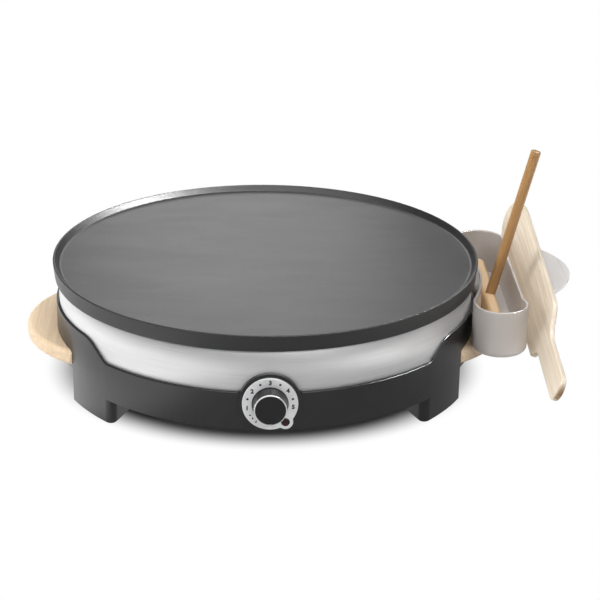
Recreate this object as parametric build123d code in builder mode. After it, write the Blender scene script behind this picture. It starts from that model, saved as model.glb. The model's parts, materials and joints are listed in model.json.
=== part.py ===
import os
from math import atan, cos, degrees, hypot, radians, sin, sqrt

from build123d import *

os.makedirs("parts", exist_ok=True)

# Electric crepe maker, millimetres. Z is up from the table, X runs from handle to handle, the
# dial faces -Y, and the origin lies on the table under the middle of the cooking plate.

# ---------------------------------------------------------------- driving dimensions

fit = 0.1  # gap between two fixed pieces that fit together
running_fit = 0.08  # radial gap of the thermostat spindle in its bush
free_gap = 0.3  # gap to a piece that lifts or slides away
sheet = 1.2  # pressed steel sheet

# cooking plate
plate_radius = 200.0
plate_thickness = 6.0
plate_skirt_height = 4.7  # skirt below the middle of the plate
plate_skirt_width = 8.0
rim_height = 5.0
rim_width = 5.5
plate_taper = 2.0  # the edge draws in towards its foot
plate_foot_round = 1.5
rim_round = 2.3
rim_cove = 2.5
boss_radius = 10.0
boss_height = 5.0
post_inset = 17.0  # from the reflector's edge to the circle of the posts
post_angles = (70, 190, 310)
post_radius = 7.0
post_neck = 5.0
bolt_radius = 3.0
bolt_head_radius = 5.0
bolt_head_height = 3.6

# base housing
housing_inset = 2.8  # from the plate's edge to the wall
housing_wall = 2.6
pad_proud = 1.2  # flat pads beyond the wall
skirt_bottom = 23.6
front_edge = 58.5  # top of the wall at the front and the rear
side_edge = 75.5  # top of the wall at the sides
slope_foot = 145.2  # half width of the low front edge
slope_run = 15.0
slope_foot_round = 4.0
slope_head_round = 13.0
ledge_bottom = 37.0
ledge_width = 15.0
brim_round = 0.9
arch_half_width = 86.0
arch_height = 8.9
arch_round = 2.0

# legs and pads
leg_angle = 54.6  # from the front, to each side
leg_half_angle = 9.7
leg_depth = 36.0
leg_inner_width = 20.0
leg_wall = 2.6
leg_round = 6.5
pad_height = 1.6
pad_plug = 8.0
pad_inset = 1.2

# band and drum floor
band_sheet = 0.8
floor_rim = 2.4
floor_screw_angles = (65, 115, 245, 295)
screw_radius = 2.0
screw_head_radius = 4.0
screw_head_height = 2.2
thread_reach = 5.0
vent_width = 5.0
vent_length = 34.0
vent_count = 12
vent_circle = 95.0

# wooden handles
handle_thickness = 14.3
handle_proud = 28.3  # beyond the wall, in the middle
handle_end = 1.5  # beyond the wall, at both ends
handle_round = 4.5
ear_width = 14.0
ear_offset = 50.0
ear_reach = 10.0
ear_thickness = 2.6

# heating element
element_tube = 4.0
element_inset = 21.0  # from the circle of the posts to the outer turn
element_pitch = 24.0
element_half_turns = 4
element_bend = 12.0
element_tail = 20.0
clamp_angles = (10, 130, 250)
clamp_sheet = 2.0
clamp_width = 14.0
clamp_foot = 10.0

# heat reflector and insulation
drum_gap = 11.2  # from the thermostat up to the reflector
reflector_rim = 14.0
reflector_gap = 5.7  # from the band to the reflector
insulation_height = 9.0
insulation_gap = 4.1  # from the insulation up to the element's clamps

# thermostat, dial and pilot lamp
dial_pad_radius = 27.5
dial_pad_round = 5.0
ring_radius = 24.3
ring_hole = 16.0
ring_thickness = 1.6
ring_blend = 2.0
knob_radius = 15.5
knob_front_radius = 14.2
knob_length = 14.3
knob_gap = 0.4
knob_wall = 2.6
knob_recess = 4.6
knob_round = 1.0
pointer_width = 1.4
pointer_length = 9.2
pointer_depth = 0.8
spindle_radius = 3.0
spindle_reach = 12.0
bush_radius = 5.0
bush_end = 0.6  # bush beyond its nut
nut_across = 14.0
nut_height = 2.8
thermostat_width = 36.0
thermostat_depth = 26.0
thermostat_below = 5.2  # casing below the spindle
thermostat_above = 17.0
thermostat_round = 1.2
lamp_distance = 21.7
lamp_angle = 142.0  # clockwise from the top
lamp_lobe = 6.8
lens_radius = 3.75
lens_stem = 2.9
lens_proud = 1.0
lens_round = 0.9
lamp_radius = 4.0
lamp_length = 17.0

# temperature sensor on the underside of the plate
sensor_radius = 3.0
sensor_length = 70.0
sensor_x = 8.0
sensor_front = -66.0
capillary_radius = 0.9
capillary_bend = 5.0
capillary_hole = 2.7
clip_sheet = 1.0
clip_width = 12.0
cutout_radius = 8.0
cutout_height = 6.0
cutout_y = 34.0

# mains connection at the rear
inlet_gap = 1.3  # from the floor's rim up to the gland's nut
inlet_pad_radius = 13.0
gland_radius = 9.0
gland_body = 6.4
gland_bore = 3.6
gland_proud = 9.0
gland_inside = 8.0
gland_taper = 8.0  # degrees
gland_round = 1.0
gland_nut_across = 18.0
gland_nut_height = 4.0
block_width = 34.0
block_depth = 20.0
block_height = 15.0
block_hole = 2.6
bead_radius = 7.0
bead_flange = 9.0
pin_radius = 1.6
pin_length = 10.0

# internal wiring
lead_radius = 1.4
lead_bend = 12.0
lead_end_bend = 4.0
lead_seat = 5.0  # into the terminal block
lead_swing = 26.0  # of the live lead, out from the middle
cutout_lead = 4.0  # from the middle of the thermal cutout to each of its leads
lamp_lead_radius = 0.8
lamp_lead = 1.0  # from the middle of the pilot lamp to each of its leads
lamp_lead_height = 10.2  # over the drum floor
tag_x = 46.0
tag_y = 18.0  # from the middle of the terminal block
tag_width = 6.3
tag_height = 8.0
tag_foot = 10.0
tag_sheet = 0.8

# accessory holder on the right handle
holder_y = 3.5
holder_top = 95.0
holder_wall = 2.3
holder_gap = 2.0  # from the plate's edge to the inner wall, which follows it
cup_overhang = 7.6  # outer wall beyond the clip
lobe_radius = 25.0
lobe_bulge = 2.5  # round ends beyond the outer wall
lobe_y = 85.0
holder_floor_round = 5.0
holder_blend = 12.0
holder_lip_round = 0.9
clip_half_width = 36.0
jaw_reach = 20.0
jaw_thickness = 2.6
pocket_end = 152.0  # along the spatula, from its shoulder
rib_thickness = 3.0
rib_inset = 5.0
tab_radius = 84.0
tab_length = 53.0  # beyond the outer wall
tab_half_width = 57.0
tab_thickness = 2.4
tab_corner = 7.0
tab_flange = 10.0
tab_groove = 43.0
tab_groove_width = 1.4

# spatula, standing on its long edge in the holder
spatula_gap = 4.0  # from the cup's outer wall to the blade's lower shoulder
spatula_y = -100.0
spatula_z = 48.5
spatula_rise = 6.0
spatula_lean = 22.0
spatula_width = 53.0
spatula_blade = 261.0
spatula_tip = 58.0
spatula_thickness = 5.0
spatula_neck = 24.0  # width of the grip
spatula_grip = 99.0  # from the shoulder to the end of the grip
spatula_grip_drop = 4.0  # grip below the middle of the blade
spatula_edge_round = 1.4
spatula_bevel_width = 17.0  # of the thinned upper edge, near the tip
spatula_bevel_depth = 2.0

# batter spreader, standing in the holder
bar_length = 180.0
bar_height = 18.0
bar_width = 12.5
bar_back_round = 5.2
bar_end_round = 1.2
stick_radius = 4.8
stick_lean = 14.2
stick_top = 213.0
stick_seat = 14.0

# ---------------------------------------------------------------- places worked out from them

housing_radius = plate_radius - housing_inset
housing_inner = housing_radius - housing_wall
pad_face = housing_radius + pad_proud
ledge_top = ledge_bottom + housing_wall
band_radius = housing_inner - fit
band_inner = band_radius - band_sheet
band_bottom = ledge_top + fit
floor_bottom = band_bottom + band_sheet + fit
floor_top = floor_bottom + sheet
floor_radius = band_inner - fit
floor_screw_circle = housing_inner - ledge_width / 2
dial_height = floor_top + floor_rim + fit + thermostat_below
inlet_height = floor_top + floor_rim + inlet_gap + gland_nut_across / 2

# heights from the thermostat up to the plate
reflector_floor = dial_height + thermostat_above + drum_gap
insulation_bottom = reflector_floor + sheet + fit
insulation_top = insulation_bottom + insulation_height
bar_bottom = insulation_top + insulation_gap
element_bottom = bar_bottom + clamp_sheet + fit
element_height = element_bottom + element_tube
plate_seat = element_height + element_tube + fit
plate_foot = plate_seat - plate_skirt_height
plate_surface = plate_seat + plate_thickness
plate_top = plate_surface + rim_height
band_top = plate_foot - free_gap
boss_bottom = plate_seat - boss_height
foot_bottom = plate_seat - fit - clamp_sheet
tail_end = element_height - element_bend - element_tail

# distances from the band in to the element
reflector_radius = band_inner - reflector_gap
post_circle = reflector_radius - post_inset
element_radius = post_circle - element_inset
clamp_start = element_radius - element_pitch * element_half_turns / 2 - 4 * element_tube
clamp_end = element_radius + 2 * element_tube
block_y = element_radius - element_pitch * element_half_turns / 4  # between the cold ends

# handles
ear_bottom = skirt_bottom + arch_height
ear_x = sqrt(housing_radius**2 - ear_offset**2)
ear_screw_x = ear_x + ear_reach / 2
handle_bottom = ear_bottom + ear_thickness + fit
handle_top = handle_bottom + handle_thickness
handle_inner = housing_radius + fit
handle_reach = housing_radius + handle_proud
handle_half = arch_half_width - handle_end
handle_sag = handle_reach - sqrt(handle_inner**2 - handle_half**2) - handle_end
handle_curve = (handle_half**2 + handle_sag**2) / (2 * handle_sag)
handle_centre = handle_reach - handle_curve

# thermostat, pilot lamp, mains inlet and sensor
lamp_x = lamp_distance * sin(radians(lamp_angle))
lamp_rise = lamp_distance * cos(radians(lamp_angle))
lamp_face = sqrt(housing_inner**2 - (lamp_x + lamp_radius) ** 2) - fit
thermostat_face = sqrt(band_inner**2 - (thermostat_width / 2) ** 2) - fit
thermostat_rear = thermostat_face - thermostat_depth
gland_nut_corner = gland_nut_across / sqrt(3)
gland_nut_face = sqrt(band_inner**2 - gland_nut_corner**2) - fit
sensor_height = plate_seat - fit - sensor_radius
capillary_y = -element_radius
capillary_height = insulation_top + capillary_hole

# accessory holder, spatula and spreader
holder_floor = handle_top + fit + free_gap
holder_inner = plate_radius + holder_gap
jaw_top = handle_bottom - free_gap
jaw_bottom = jaw_top - jaw_thickness
clip_inner = handle_reach + free_gap
clip_outer = clip_inner + jaw_thickness
holder_outer = clip_outer + cup_overhang
lobe_x = holder_outer + lobe_bulge - lobe_radius
pocket_floor = holder_floor + holder_wall
tab_reach = holder_outer + tab_length
tab_bottom = holder_top - tab_thickness
spatula_x = holder_outer + spatula_gap
stick_direction = Vector(sin(radians(stick_lean)), 0, cos(radians(stick_lean)))
bar_rise = bar_height / 2 * stick_direction.Z + bar_width / 2 * stick_direction.X
bar_spread = bar_width / 2 * stick_direction.Z + bar_height / 2 * stick_direction.X
bar_x = holder_inner + holder_wall + 2 * free_gap + bar_spread
bar_z = pocket_floor + free_gap + bar_rise

# planes of the dial, the mains inlet, the spatula's inner face and the spreader
dial_plane = Plane(origin=(0, -pad_face, dial_height), x_dir=(1, 0, 0), z_dir=(0, -1, 0))
inlet_plane = Plane(origin=(0, pad_face, inlet_height), x_dir=(-1, 0, 0), z_dir=(0, 1, 0))
spatula_along = Vector(0, cos(radians(spatula_rise)), sin(radians(spatula_rise)))
spatula_up = Vector(sin(radians(spatula_lean)), 0, cos(radians(spatula_lean)))
spatula_plane = Plane(
    origin=(spatula_x, spatula_y, spatula_z),
    x_dir=spatula_along,
    z_dir=spatula_along.cross(spatula_up),
)
# the pocket starts where the rising lower edge of the spatula has cleared its floor
spatula_drop = -spatula_plane.z_dir.Z * spatula_thickness
pocket_clear = pocket_floor + 2 * free_gap + spatula_drop
pocket_start = (pocket_clear - spatula_z) / spatula_plane.x_dir.Z
rib_places = (pocket_start + rib_inset, pocket_end - rib_inset - rib_thickness)
bar_plane = Plane(
    origin=(bar_x, holder_y, bar_z),
    x_dir=(cos(radians(stick_lean)), 0, -sin(radians(stick_lean))),
    z_dir=stick_direction,
)


def polar(radius, angle):
    """Point at a distance from the plate's axis and an angle from +X."""
    return (radius * cos(radians(angle)), radius * sin(radians(angle)))


def radial_plane(angle):
    """Upright plane through the plate's axis, with x pointing outwards."""
    across = (sin(radians(angle)), -cos(radians(angle)), 0)
    return Plane(origin=(0, 0, 0), x_dir=(*polar(1, angle), 0), z_dir=across)


def spatula_point(along, height, depth):
    """Point at a place along the spatula, a height above the table and a depth behind its face."""
    rise = spatula_plane.origin.Z + along * spatula_plane.x_dir.Z + depth * spatula_plane.z_dir.Z
    up = (height - rise) / spatula_plane.y_dir.Z
    return spatula_plane.from_local_coords(Vector(along, up, depth))


def save(piece, name):
    """Label a finished piece and write its STEP file."""
    piece.part.label = name
    export_step(piece.part, f"parts/{name}.step")


post_spots = [polar(post_circle, angle) for angle in post_angles]
floor_screw_spots = [polar(floor_screw_circle, angle) for angle in floor_screw_angles]
clamp_spots = [
    polar(radius, angle)
    for angle in clamp_angles
    for radius in (clamp_start - clamp_foot / 2, clamp_end + clamp_foot / 2)
]
sensor_middle = sensor_front + sensor_length / 2
clip_reach = sensor_radius + fit + clip_sheet + screw_head_radius
clip_spots = [(sensor_x - clip_reach, sensor_middle), (sensor_x + clip_reach, sensor_middle)]
cutout_reach = cutout_radius + screw_head_radius
cutout_spots = [(-cutout_reach, cutout_y), (cutout_reach, cutout_y)]
cutout_lead_spots = [(-cutout_lead, cutout_y), (cutout_lead, cutout_y)]
tail_spots = [
    (element_bend, element_radius),
    (-element_bend, element_radius - element_pitch * element_half_turns / 2),
]

# ---------------------------------------------------------------- cooking plate

rim_inner = plate_radius - rim_width
foot_radius = plate_radius - plate_taper
with BuildPart() as cooking_plate:
    with BuildSketch(Plane.XZ) as plate_profile:
        with BuildLine():
            Polyline(
                (0, plate_seat),
                (foot_radius - plate_skirt_width, plate_seat),
                (foot_radius - plate_skirt_width, plate_foot),
                (foot_radius, plate_foot),
                (plate_radius, plate_top),
                (rim_inner, plate_top),
                (rim_inner, plate_surface),
                (0, plate_surface),
                close=True,
            )
        make_face()
        corners = plate_profile.vertices()
        fillet(corners.filter_by(lambda v: v.Y > plate_top - fit), radius=rim_round)
        corners = plate_profile.vertices()
        cove = corners.filter_by(lambda v: abs(v.X - rim_inner) < fit and v.Y < plate_surface + fit)
        fillet(cove, radius=rim_cove)
        corners = plate_profile.vertices()
        foot = corners.filter_by(lambda v: v.X > foot_radius - fit and v.Y < plate_foot + fit)
        fillet(foot, radius=plate_foot_round)
    revolve(axis=Axis.Z)
    with BuildSketch(Plane.XY.offset(boss_bottom)):
        with Locations(*post_spots):
            Circle(boss_radius)
    extrude(amount=boss_height)
    with BuildSketch(Plane.XY.offset(boss_bottom)):
        with Locations(*post_spots):
            Circle(bolt_radius + fit)
    extrude(amount=boss_height + thread_reach, mode=Mode.SUBTRACT)
    with BuildSketch(Plane.XY.offset(plate_seat)):
        with Locations(*clamp_spots, *clip_spots, *cutout_spots):
            Circle(screw_radius + fit)
    extrude(amount=thread_reach + fit, mode=Mode.SUBTRACT)
save(cooking_plate, "cooking_plate")

# ---------------------------------------------------------------- heating element

with BuildLine() as element_path:
    bend_height = element_height - element_bend
    bend_shift = element_bend * sin(radians(45))
    Line((element_bend, element_radius, tail_end), (element_bend, element_radius, bend_height))
    ThreePointArc(
        (element_bend, element_radius, bend_height),
        (bend_shift, element_radius, bend_height + bend_shift),
        (0, element_radius, element_height),
    )
    turn_y = element_radius
    for half_turn in range(element_half_turns):
        turn_radius = element_radius - half_turn * element_pitch / 2
        side = -1 if half_turn % 2 == 0 else 1
        centre_y = turn_y + side * turn_radius
        ThreePointArc(
            (0, turn_y, element_height),
            (side * turn_radius, centre_y, element_height),
            (0, 2 * centre_y - turn_y, element_height),
        )
        turn_y = 2 * centre_y - turn_y
    ThreePointArc(
        (0, turn_y, element_height),
        (-bend_shift, turn_y, bend_height + bend_shift),
        (-element_bend, turn_y, bend_height),
    )
    Line((-element_bend, turn_y, bend_height), (-element_bend, turn_y, tail_end))
with BuildPart() as heating_element:
    with BuildSketch(Plane.XY.offset(tail_end)):
        with Locations(tail_spots[0]):
            Circle(element_tube)
    sweep(path=element_path.line)
save(heating_element, "heating_element")

with BuildPart() as element_pins:
    with BuildSketch(Plane.XY.offset(tail_end - fit)):
        with Locations(*tail_spots):
            Circle(pin_radius)
    extrude(amount=-pin_length)
save(element_pins, "element_pins")

with BuildPart() as terminal_beads:
    with BuildSketch(Plane.XY.offset(reflector_floor - fit)):
        with Locations(*tail_spots):
            Circle(bead_flange)
    extrude(amount=-clamp_sheet)
    with BuildSketch(Plane.XY.offset(reflector_floor - fit)):
        with Locations(*tail_spots):
            Circle(bead_radius)
    extrude(amount=insulation_height)
    with BuildSketch(Plane.XY.offset(tail_end)):
        with Locations(*tail_spots):
            Circle(element_tube + fit)
    extrude(amount=element_tail + element_bend, mode=Mode.SUBTRACT)
save(terminal_beads, "terminal_beads")

with BuildPart() as element_clamps:
    for angle in clamp_angles:
        with BuildSketch(radial_plane(angle)):
            for start, end in (
                (clamp_start - clamp_foot, clamp_start),
                (clamp_end, clamp_end + clamp_foot),
            ):
                with Locations(((start + end) / 2, foot_bottom + clamp_sheet / 2)):
                    Rectangle(end - start, clamp_sheet)
            for edge in (clamp_start + clamp_sheet / 2, clamp_end - clamp_sheet / 2):
                with Locations((edge, bar_bottom)):
                    Rectangle(
                        clamp_sheet,
                        foot_bottom + clamp_sheet - bar_bottom,
                        align=(Align.CENTER, Align.MIN),
                    )
            with Locations(((clamp_start + clamp_end) / 2, bar_bottom + clamp_sheet / 2)):
                Rectangle(clamp_end - clamp_start, clamp_sheet)
        extrude(amount=clamp_width / 2, both=True)
    with BuildSketch(Plane.XY.offset(bar_bottom)):
        with Locations(*clamp_spots):
            Circle(screw_radius + fit)
    extrude(amount=plate_seat - bar_bottom, mode=Mode.SUBTRACT)
save(element_clamps, "element_clamps")

# ---------------------------------------------------------------- sensor and thermal cutout

with BuildLine() as capillary_path:
    FilletPolyline(
        (sensor_x, fit - thermostat_rear, dial_height + thermostat_above / 2),
        (sensor_x, capillary_y, dial_height + thermostat_above / 2),
        (sensor_x, capillary_y, capillary_height),
        (sensor_x, sensor_front - 4 * capillary_bend, capillary_height),
        (sensor_x, sensor_front - 2 * capillary_bend, sensor_height),
        (sensor_x, sensor_front, sensor_height),
        radius=capillary_bend,
    )
with BuildPart() as capillary_sensor:
    with BuildSketch(Plane(origin=capillary_path.line @ 0, x_dir=(1, 0, 0), z_dir=(0, 1, 0))):
        Circle(capillary_radius)
    sweep(path=capillary_path.line)
    with BuildSketch(
        Plane(origin=(sensor_x, sensor_front, sensor_height), x_dir=(1, 0, 0), z_dir=(0, 1, 0))
    ):
        Circle(sensor_radius)
    extrude(amount=sensor_length)
save(capillary_sensor, "capillary_sensor")

sensor_bottom = sensor_height - sensor_radius
with BuildPart() as sensor_clip:
    with BuildSketch(Plane(origin=(sensor_x, sensor_middle, 0), x_dir=(1, 0, 0), z_dir=(0, -1, 0))):
        web_x = sensor_radius + fit + clip_sheet / 2
        foot_length = clip_reach + screw_head_radius - web_x
        for side in (-1, 1):
            with Locations((side * web_x, sensor_bottom - fit - clip_sheet)):
                Rectangle(
                    clip_sheet,
                    plate_seat - sensor_bottom + clip_sheet,
                    align=(Align.CENTER, Align.MIN),
                )
            with Locations((side * (web_x + foot_length / 2), plate_seat - fit - clip_sheet / 2)):
                Rectangle(foot_length, clip_sheet)
        with Locations((0, sensor_bottom - fit - clip_sheet / 2)):
            Rectangle(2 * web_x, clip_sheet)
    extrude(amount=clip_width / 2, both=True)
    with BuildSketch(Plane.XY.offset(sensor_bottom)):
        with Locations(*clip_spots):
            Circle(screw_radius + fit)
    extrude(amount=plate_seat - sensor_bottom, mode=Mode.SUBTRACT)
save(sensor_clip, "sensor_clip")

with BuildPart() as thermal_cutout:
    with BuildSketch(Plane.XY.offset(plate_seat - fit)):
        with Locations((0, cutout_y)):
            SlotCenterToCenter(2 * cutout_reach, 2 * screw_head_radius)
    extrude(amount=-clip_sheet)
    with BuildSketch(Plane.XY.offset(plate_seat - fit)):
        with Locations((0, cutout_y)):
            Circle(cutout_radius)
    extrude(amount=-cutout_height)
    with BuildSketch(Plane.XY.offset(plate_seat - fit)):
        with Locations(*cutout_spots):
            Circle(screw_radius + fit)
    extrude(amount=-cutout_height, mode=Mode.SUBTRACT)
save(thermal_cutout, "thermal_cutout")

with BuildPart() as plate_screws:
    for spots, thickness in (
        (clamp_spots, clamp_sheet),
        (clip_spots, clip_sheet),
        (cutout_spots, clip_sheet),
    ):
        with BuildSketch(Plane.XY.offset(plate_seat - fit - thickness)):
            with Locations(*spots):
                Circle(screw_head_radius - fit)
        extrude(amount=-screw_head_height)
        with BuildSketch(Plane.XY.offset(plate_seat - fit - thickness)):
            with Locations(*spots):
                Circle(screw_radius)
        extrude(amount=thickness + thread_reach)
save(plate_screws, "plate_screws")

# ---------------------------------------------------------------- reflector and insulation

with BuildPart() as heat_reflector:
    with BuildSketch(Plane.XY.offset(reflector_floor)):
        Circle(reflector_radius)
    extrude(amount=sheet)
    with BuildSketch(Plane.XY.offset(reflector_floor)):
        Circle(reflector_radius)
        Circle(reflector_radius - sheet, mode=Mode.SUBTRACT)
    extrude(amount=reflector_rim)
    with BuildSketch(Plane.XY.offset(reflector_floor)):
        with Locations(*post_spots):
            Circle(post_neck + fit)
        with Locations(*tail_spots):
            Circle(bead_radius + fit)
        with Locations((sensor_x, capillary_y)):
            Circle(capillary_hole)
        with Locations(*cutout_lead_spots):
            Circle(lead_radius + free_gap)
    extrude(amount=sheet, mode=Mode.SUBTRACT)
save(heat_reflector, "heat_reflector")

with BuildPart() as insulation_blanket:
    with BuildSketch(Plane.XY.offset(insulation_bottom)):
        Circle(reflector_radius - sheet - fit)
        with Locations(*post_spots):
            Circle(post_neck + fit, mode=Mode.SUBTRACT)
        with Locations(*tail_spots):
            Circle(bead_radius + fit, mode=Mode.SUBTRACT)
        with Locations((sensor_x, capillary_y)):
            Circle(capillary_hole, mode=Mode.SUBTRACT)
        with Locations(*cutout_lead_spots):
            Circle(lead_radius + free_gap, mode=Mode.SUBTRACT)
    extrude(amount=insulation_height)
save(insulation_blanket, "insulation_blanket")

# ---------------------------------------------------------------- posts, bolts and drum

with BuildPart() as plate_posts:
    with BuildSketch(Plane.XY.offset(floor_top)):
        with Locations(*post_spots):
            Circle(post_radius)
    extrude(amount=reflector_floor - floor_top)
    with BuildSketch(Plane.XY.offset(reflector_floor)):
        with Locations(*post_spots):
            Circle(post_neck)
    extrude(amount=boss_bottom - reflector_floor)
    with BuildSketch(Plane.XY.offset(floor_top)):
        with Locations(*post_spots):
            Circle(bolt_radius + fit)
    extrude(amount=boss_bottom - floor_top, mode=Mode.SUBTRACT)
save(plate_posts, "plate_posts")

with BuildPart() as plate_bolts:
    with BuildSketch(Plane.XY.offset(floor_bottom)):
        with Locations(*post_spots):
            RegularPolygon(radius=bolt_head_radius, side_count=6)
    extrude(amount=-bolt_head_height)
    with BuildSketch(Plane.XY.offset(floor_bottom)):
        with Locations(*post_spots):
            Circle(bolt_radius)
    extrude(amount=boss_bottom + boss_height + thread_reach - fit - floor_bottom)
save(plate_bolts, "plate_bolts")

with BuildPart() as steel_band:
    with BuildSketch(Plane.XY.offset(band_bottom)):
        Circle(band_radius)
        Circle(band_inner, mode=Mode.SUBTRACT)
    extrude(amount=band_top - band_bottom)
    with BuildSketch(Plane.XY.offset(band_bottom)):
        Circle(band_radius)
        Circle(housing_inner - ledge_width, mode=Mode.SUBTRACT)
        with Locations(*floor_screw_spots):
            Circle(screw_radius + fit, mode=Mode.SUBTRACT)
    extrude(amount=band_sheet)
    with BuildSketch(dial_plane):
        Circle(bush_radius + free_gap)
    extrude(amount=-thermostat_depth, mode=Mode.SUBTRACT)
    with BuildSketch(inlet_plane):
        Circle(gland_body + fit)
    extrude(amount=-thermostat_depth, mode=Mode.SUBTRACT)
save(steel_band, "steel_band")

with BuildPart() as drum_floor:
    with BuildSketch(Plane.XY.offset(floor_bottom)):
        Circle(floor_radius)
    extrude(amount=sheet)
    with BuildSketch(Plane.XY.offset(floor_bottom)):
        Circle(floor_radius)
        Circle(floor_radius - sheet, mode=Mode.SUBTRACT)
    extrude(amount=sheet + floor_rim)
    with BuildSketch(Plane.XY.offset(floor_bottom)):
        with Locations(*floor_screw_spots):
            Circle(screw_radius + fit)
        with Locations(*post_spots):
            Circle(bolt_radius + fit)
        with PolarLocations(vent_circle, vent_count):
            SlotOverall(vent_length, vent_width)
    extrude(amount=sheet, mode=Mode.SUBTRACT)
save(drum_floor, "drum_floor")

with BuildPart() as floor_screws:
    with BuildSketch(Plane.XY.offset(ledge_bottom)):
        with Locations(*floor_screw_spots):
            Circle(screw_head_radius)
    extrude(amount=-screw_head_height)
    with BuildSketch(Plane.XY.offset(ledge_bottom)):
        with Locations(*floor_screw_spots):
            Circle(screw_radius)
    extrude(amount=floor_top + thread_reach - ledge_bottom)
save(floor_screws, "floor_screws")

# ---------------------------------------------------------------- base housing with its legs


def leg_outline(angle, height, inset=0.0, trimmed=True):
    """Plan of a leg, wide at the wall and narrower inside, drawn in by an inset."""
    wide = housing_radius * sin(radians(leg_half_angle))
    outer = housing_radius * cos(radians(leg_half_angle))
    inner = outer - leg_depth
    beyond = housing_radius + 2 * leg_round
    spread = (wide - leg_inner_width / 2) / leg_depth * (beyond - inner) + leg_inner_width / 2
    arch_side = -1 if sin(radians(2 * angle)) > 0 else 1
    level = Plane(origin=(0, 0, height), x_dir=(*polar(1, angle), 0), z_dir=(0, 0, 1))
    with BuildSketch(level, mode=Mode.PRIVATE) as outline:
        with BuildLine():
            Polyline(
                (inner, -leg_inner_width / 2),
                (beyond, -spread),
                (beyond, spread),
                (inner, leg_inner_width / 2),
                close=True,
            )
        make_face()
        if trimmed:
            Circle(housing_radius, mode=Mode.INTERSECT)
        rounded = outline.vertices().filter_by(lambda v: v.X < outer - fit or v.Y * arch_side < 0)
        fillet(rounded, radius=leg_round)
        if inset:
            offset(amount=-inset)
    return outline.sketch


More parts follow.
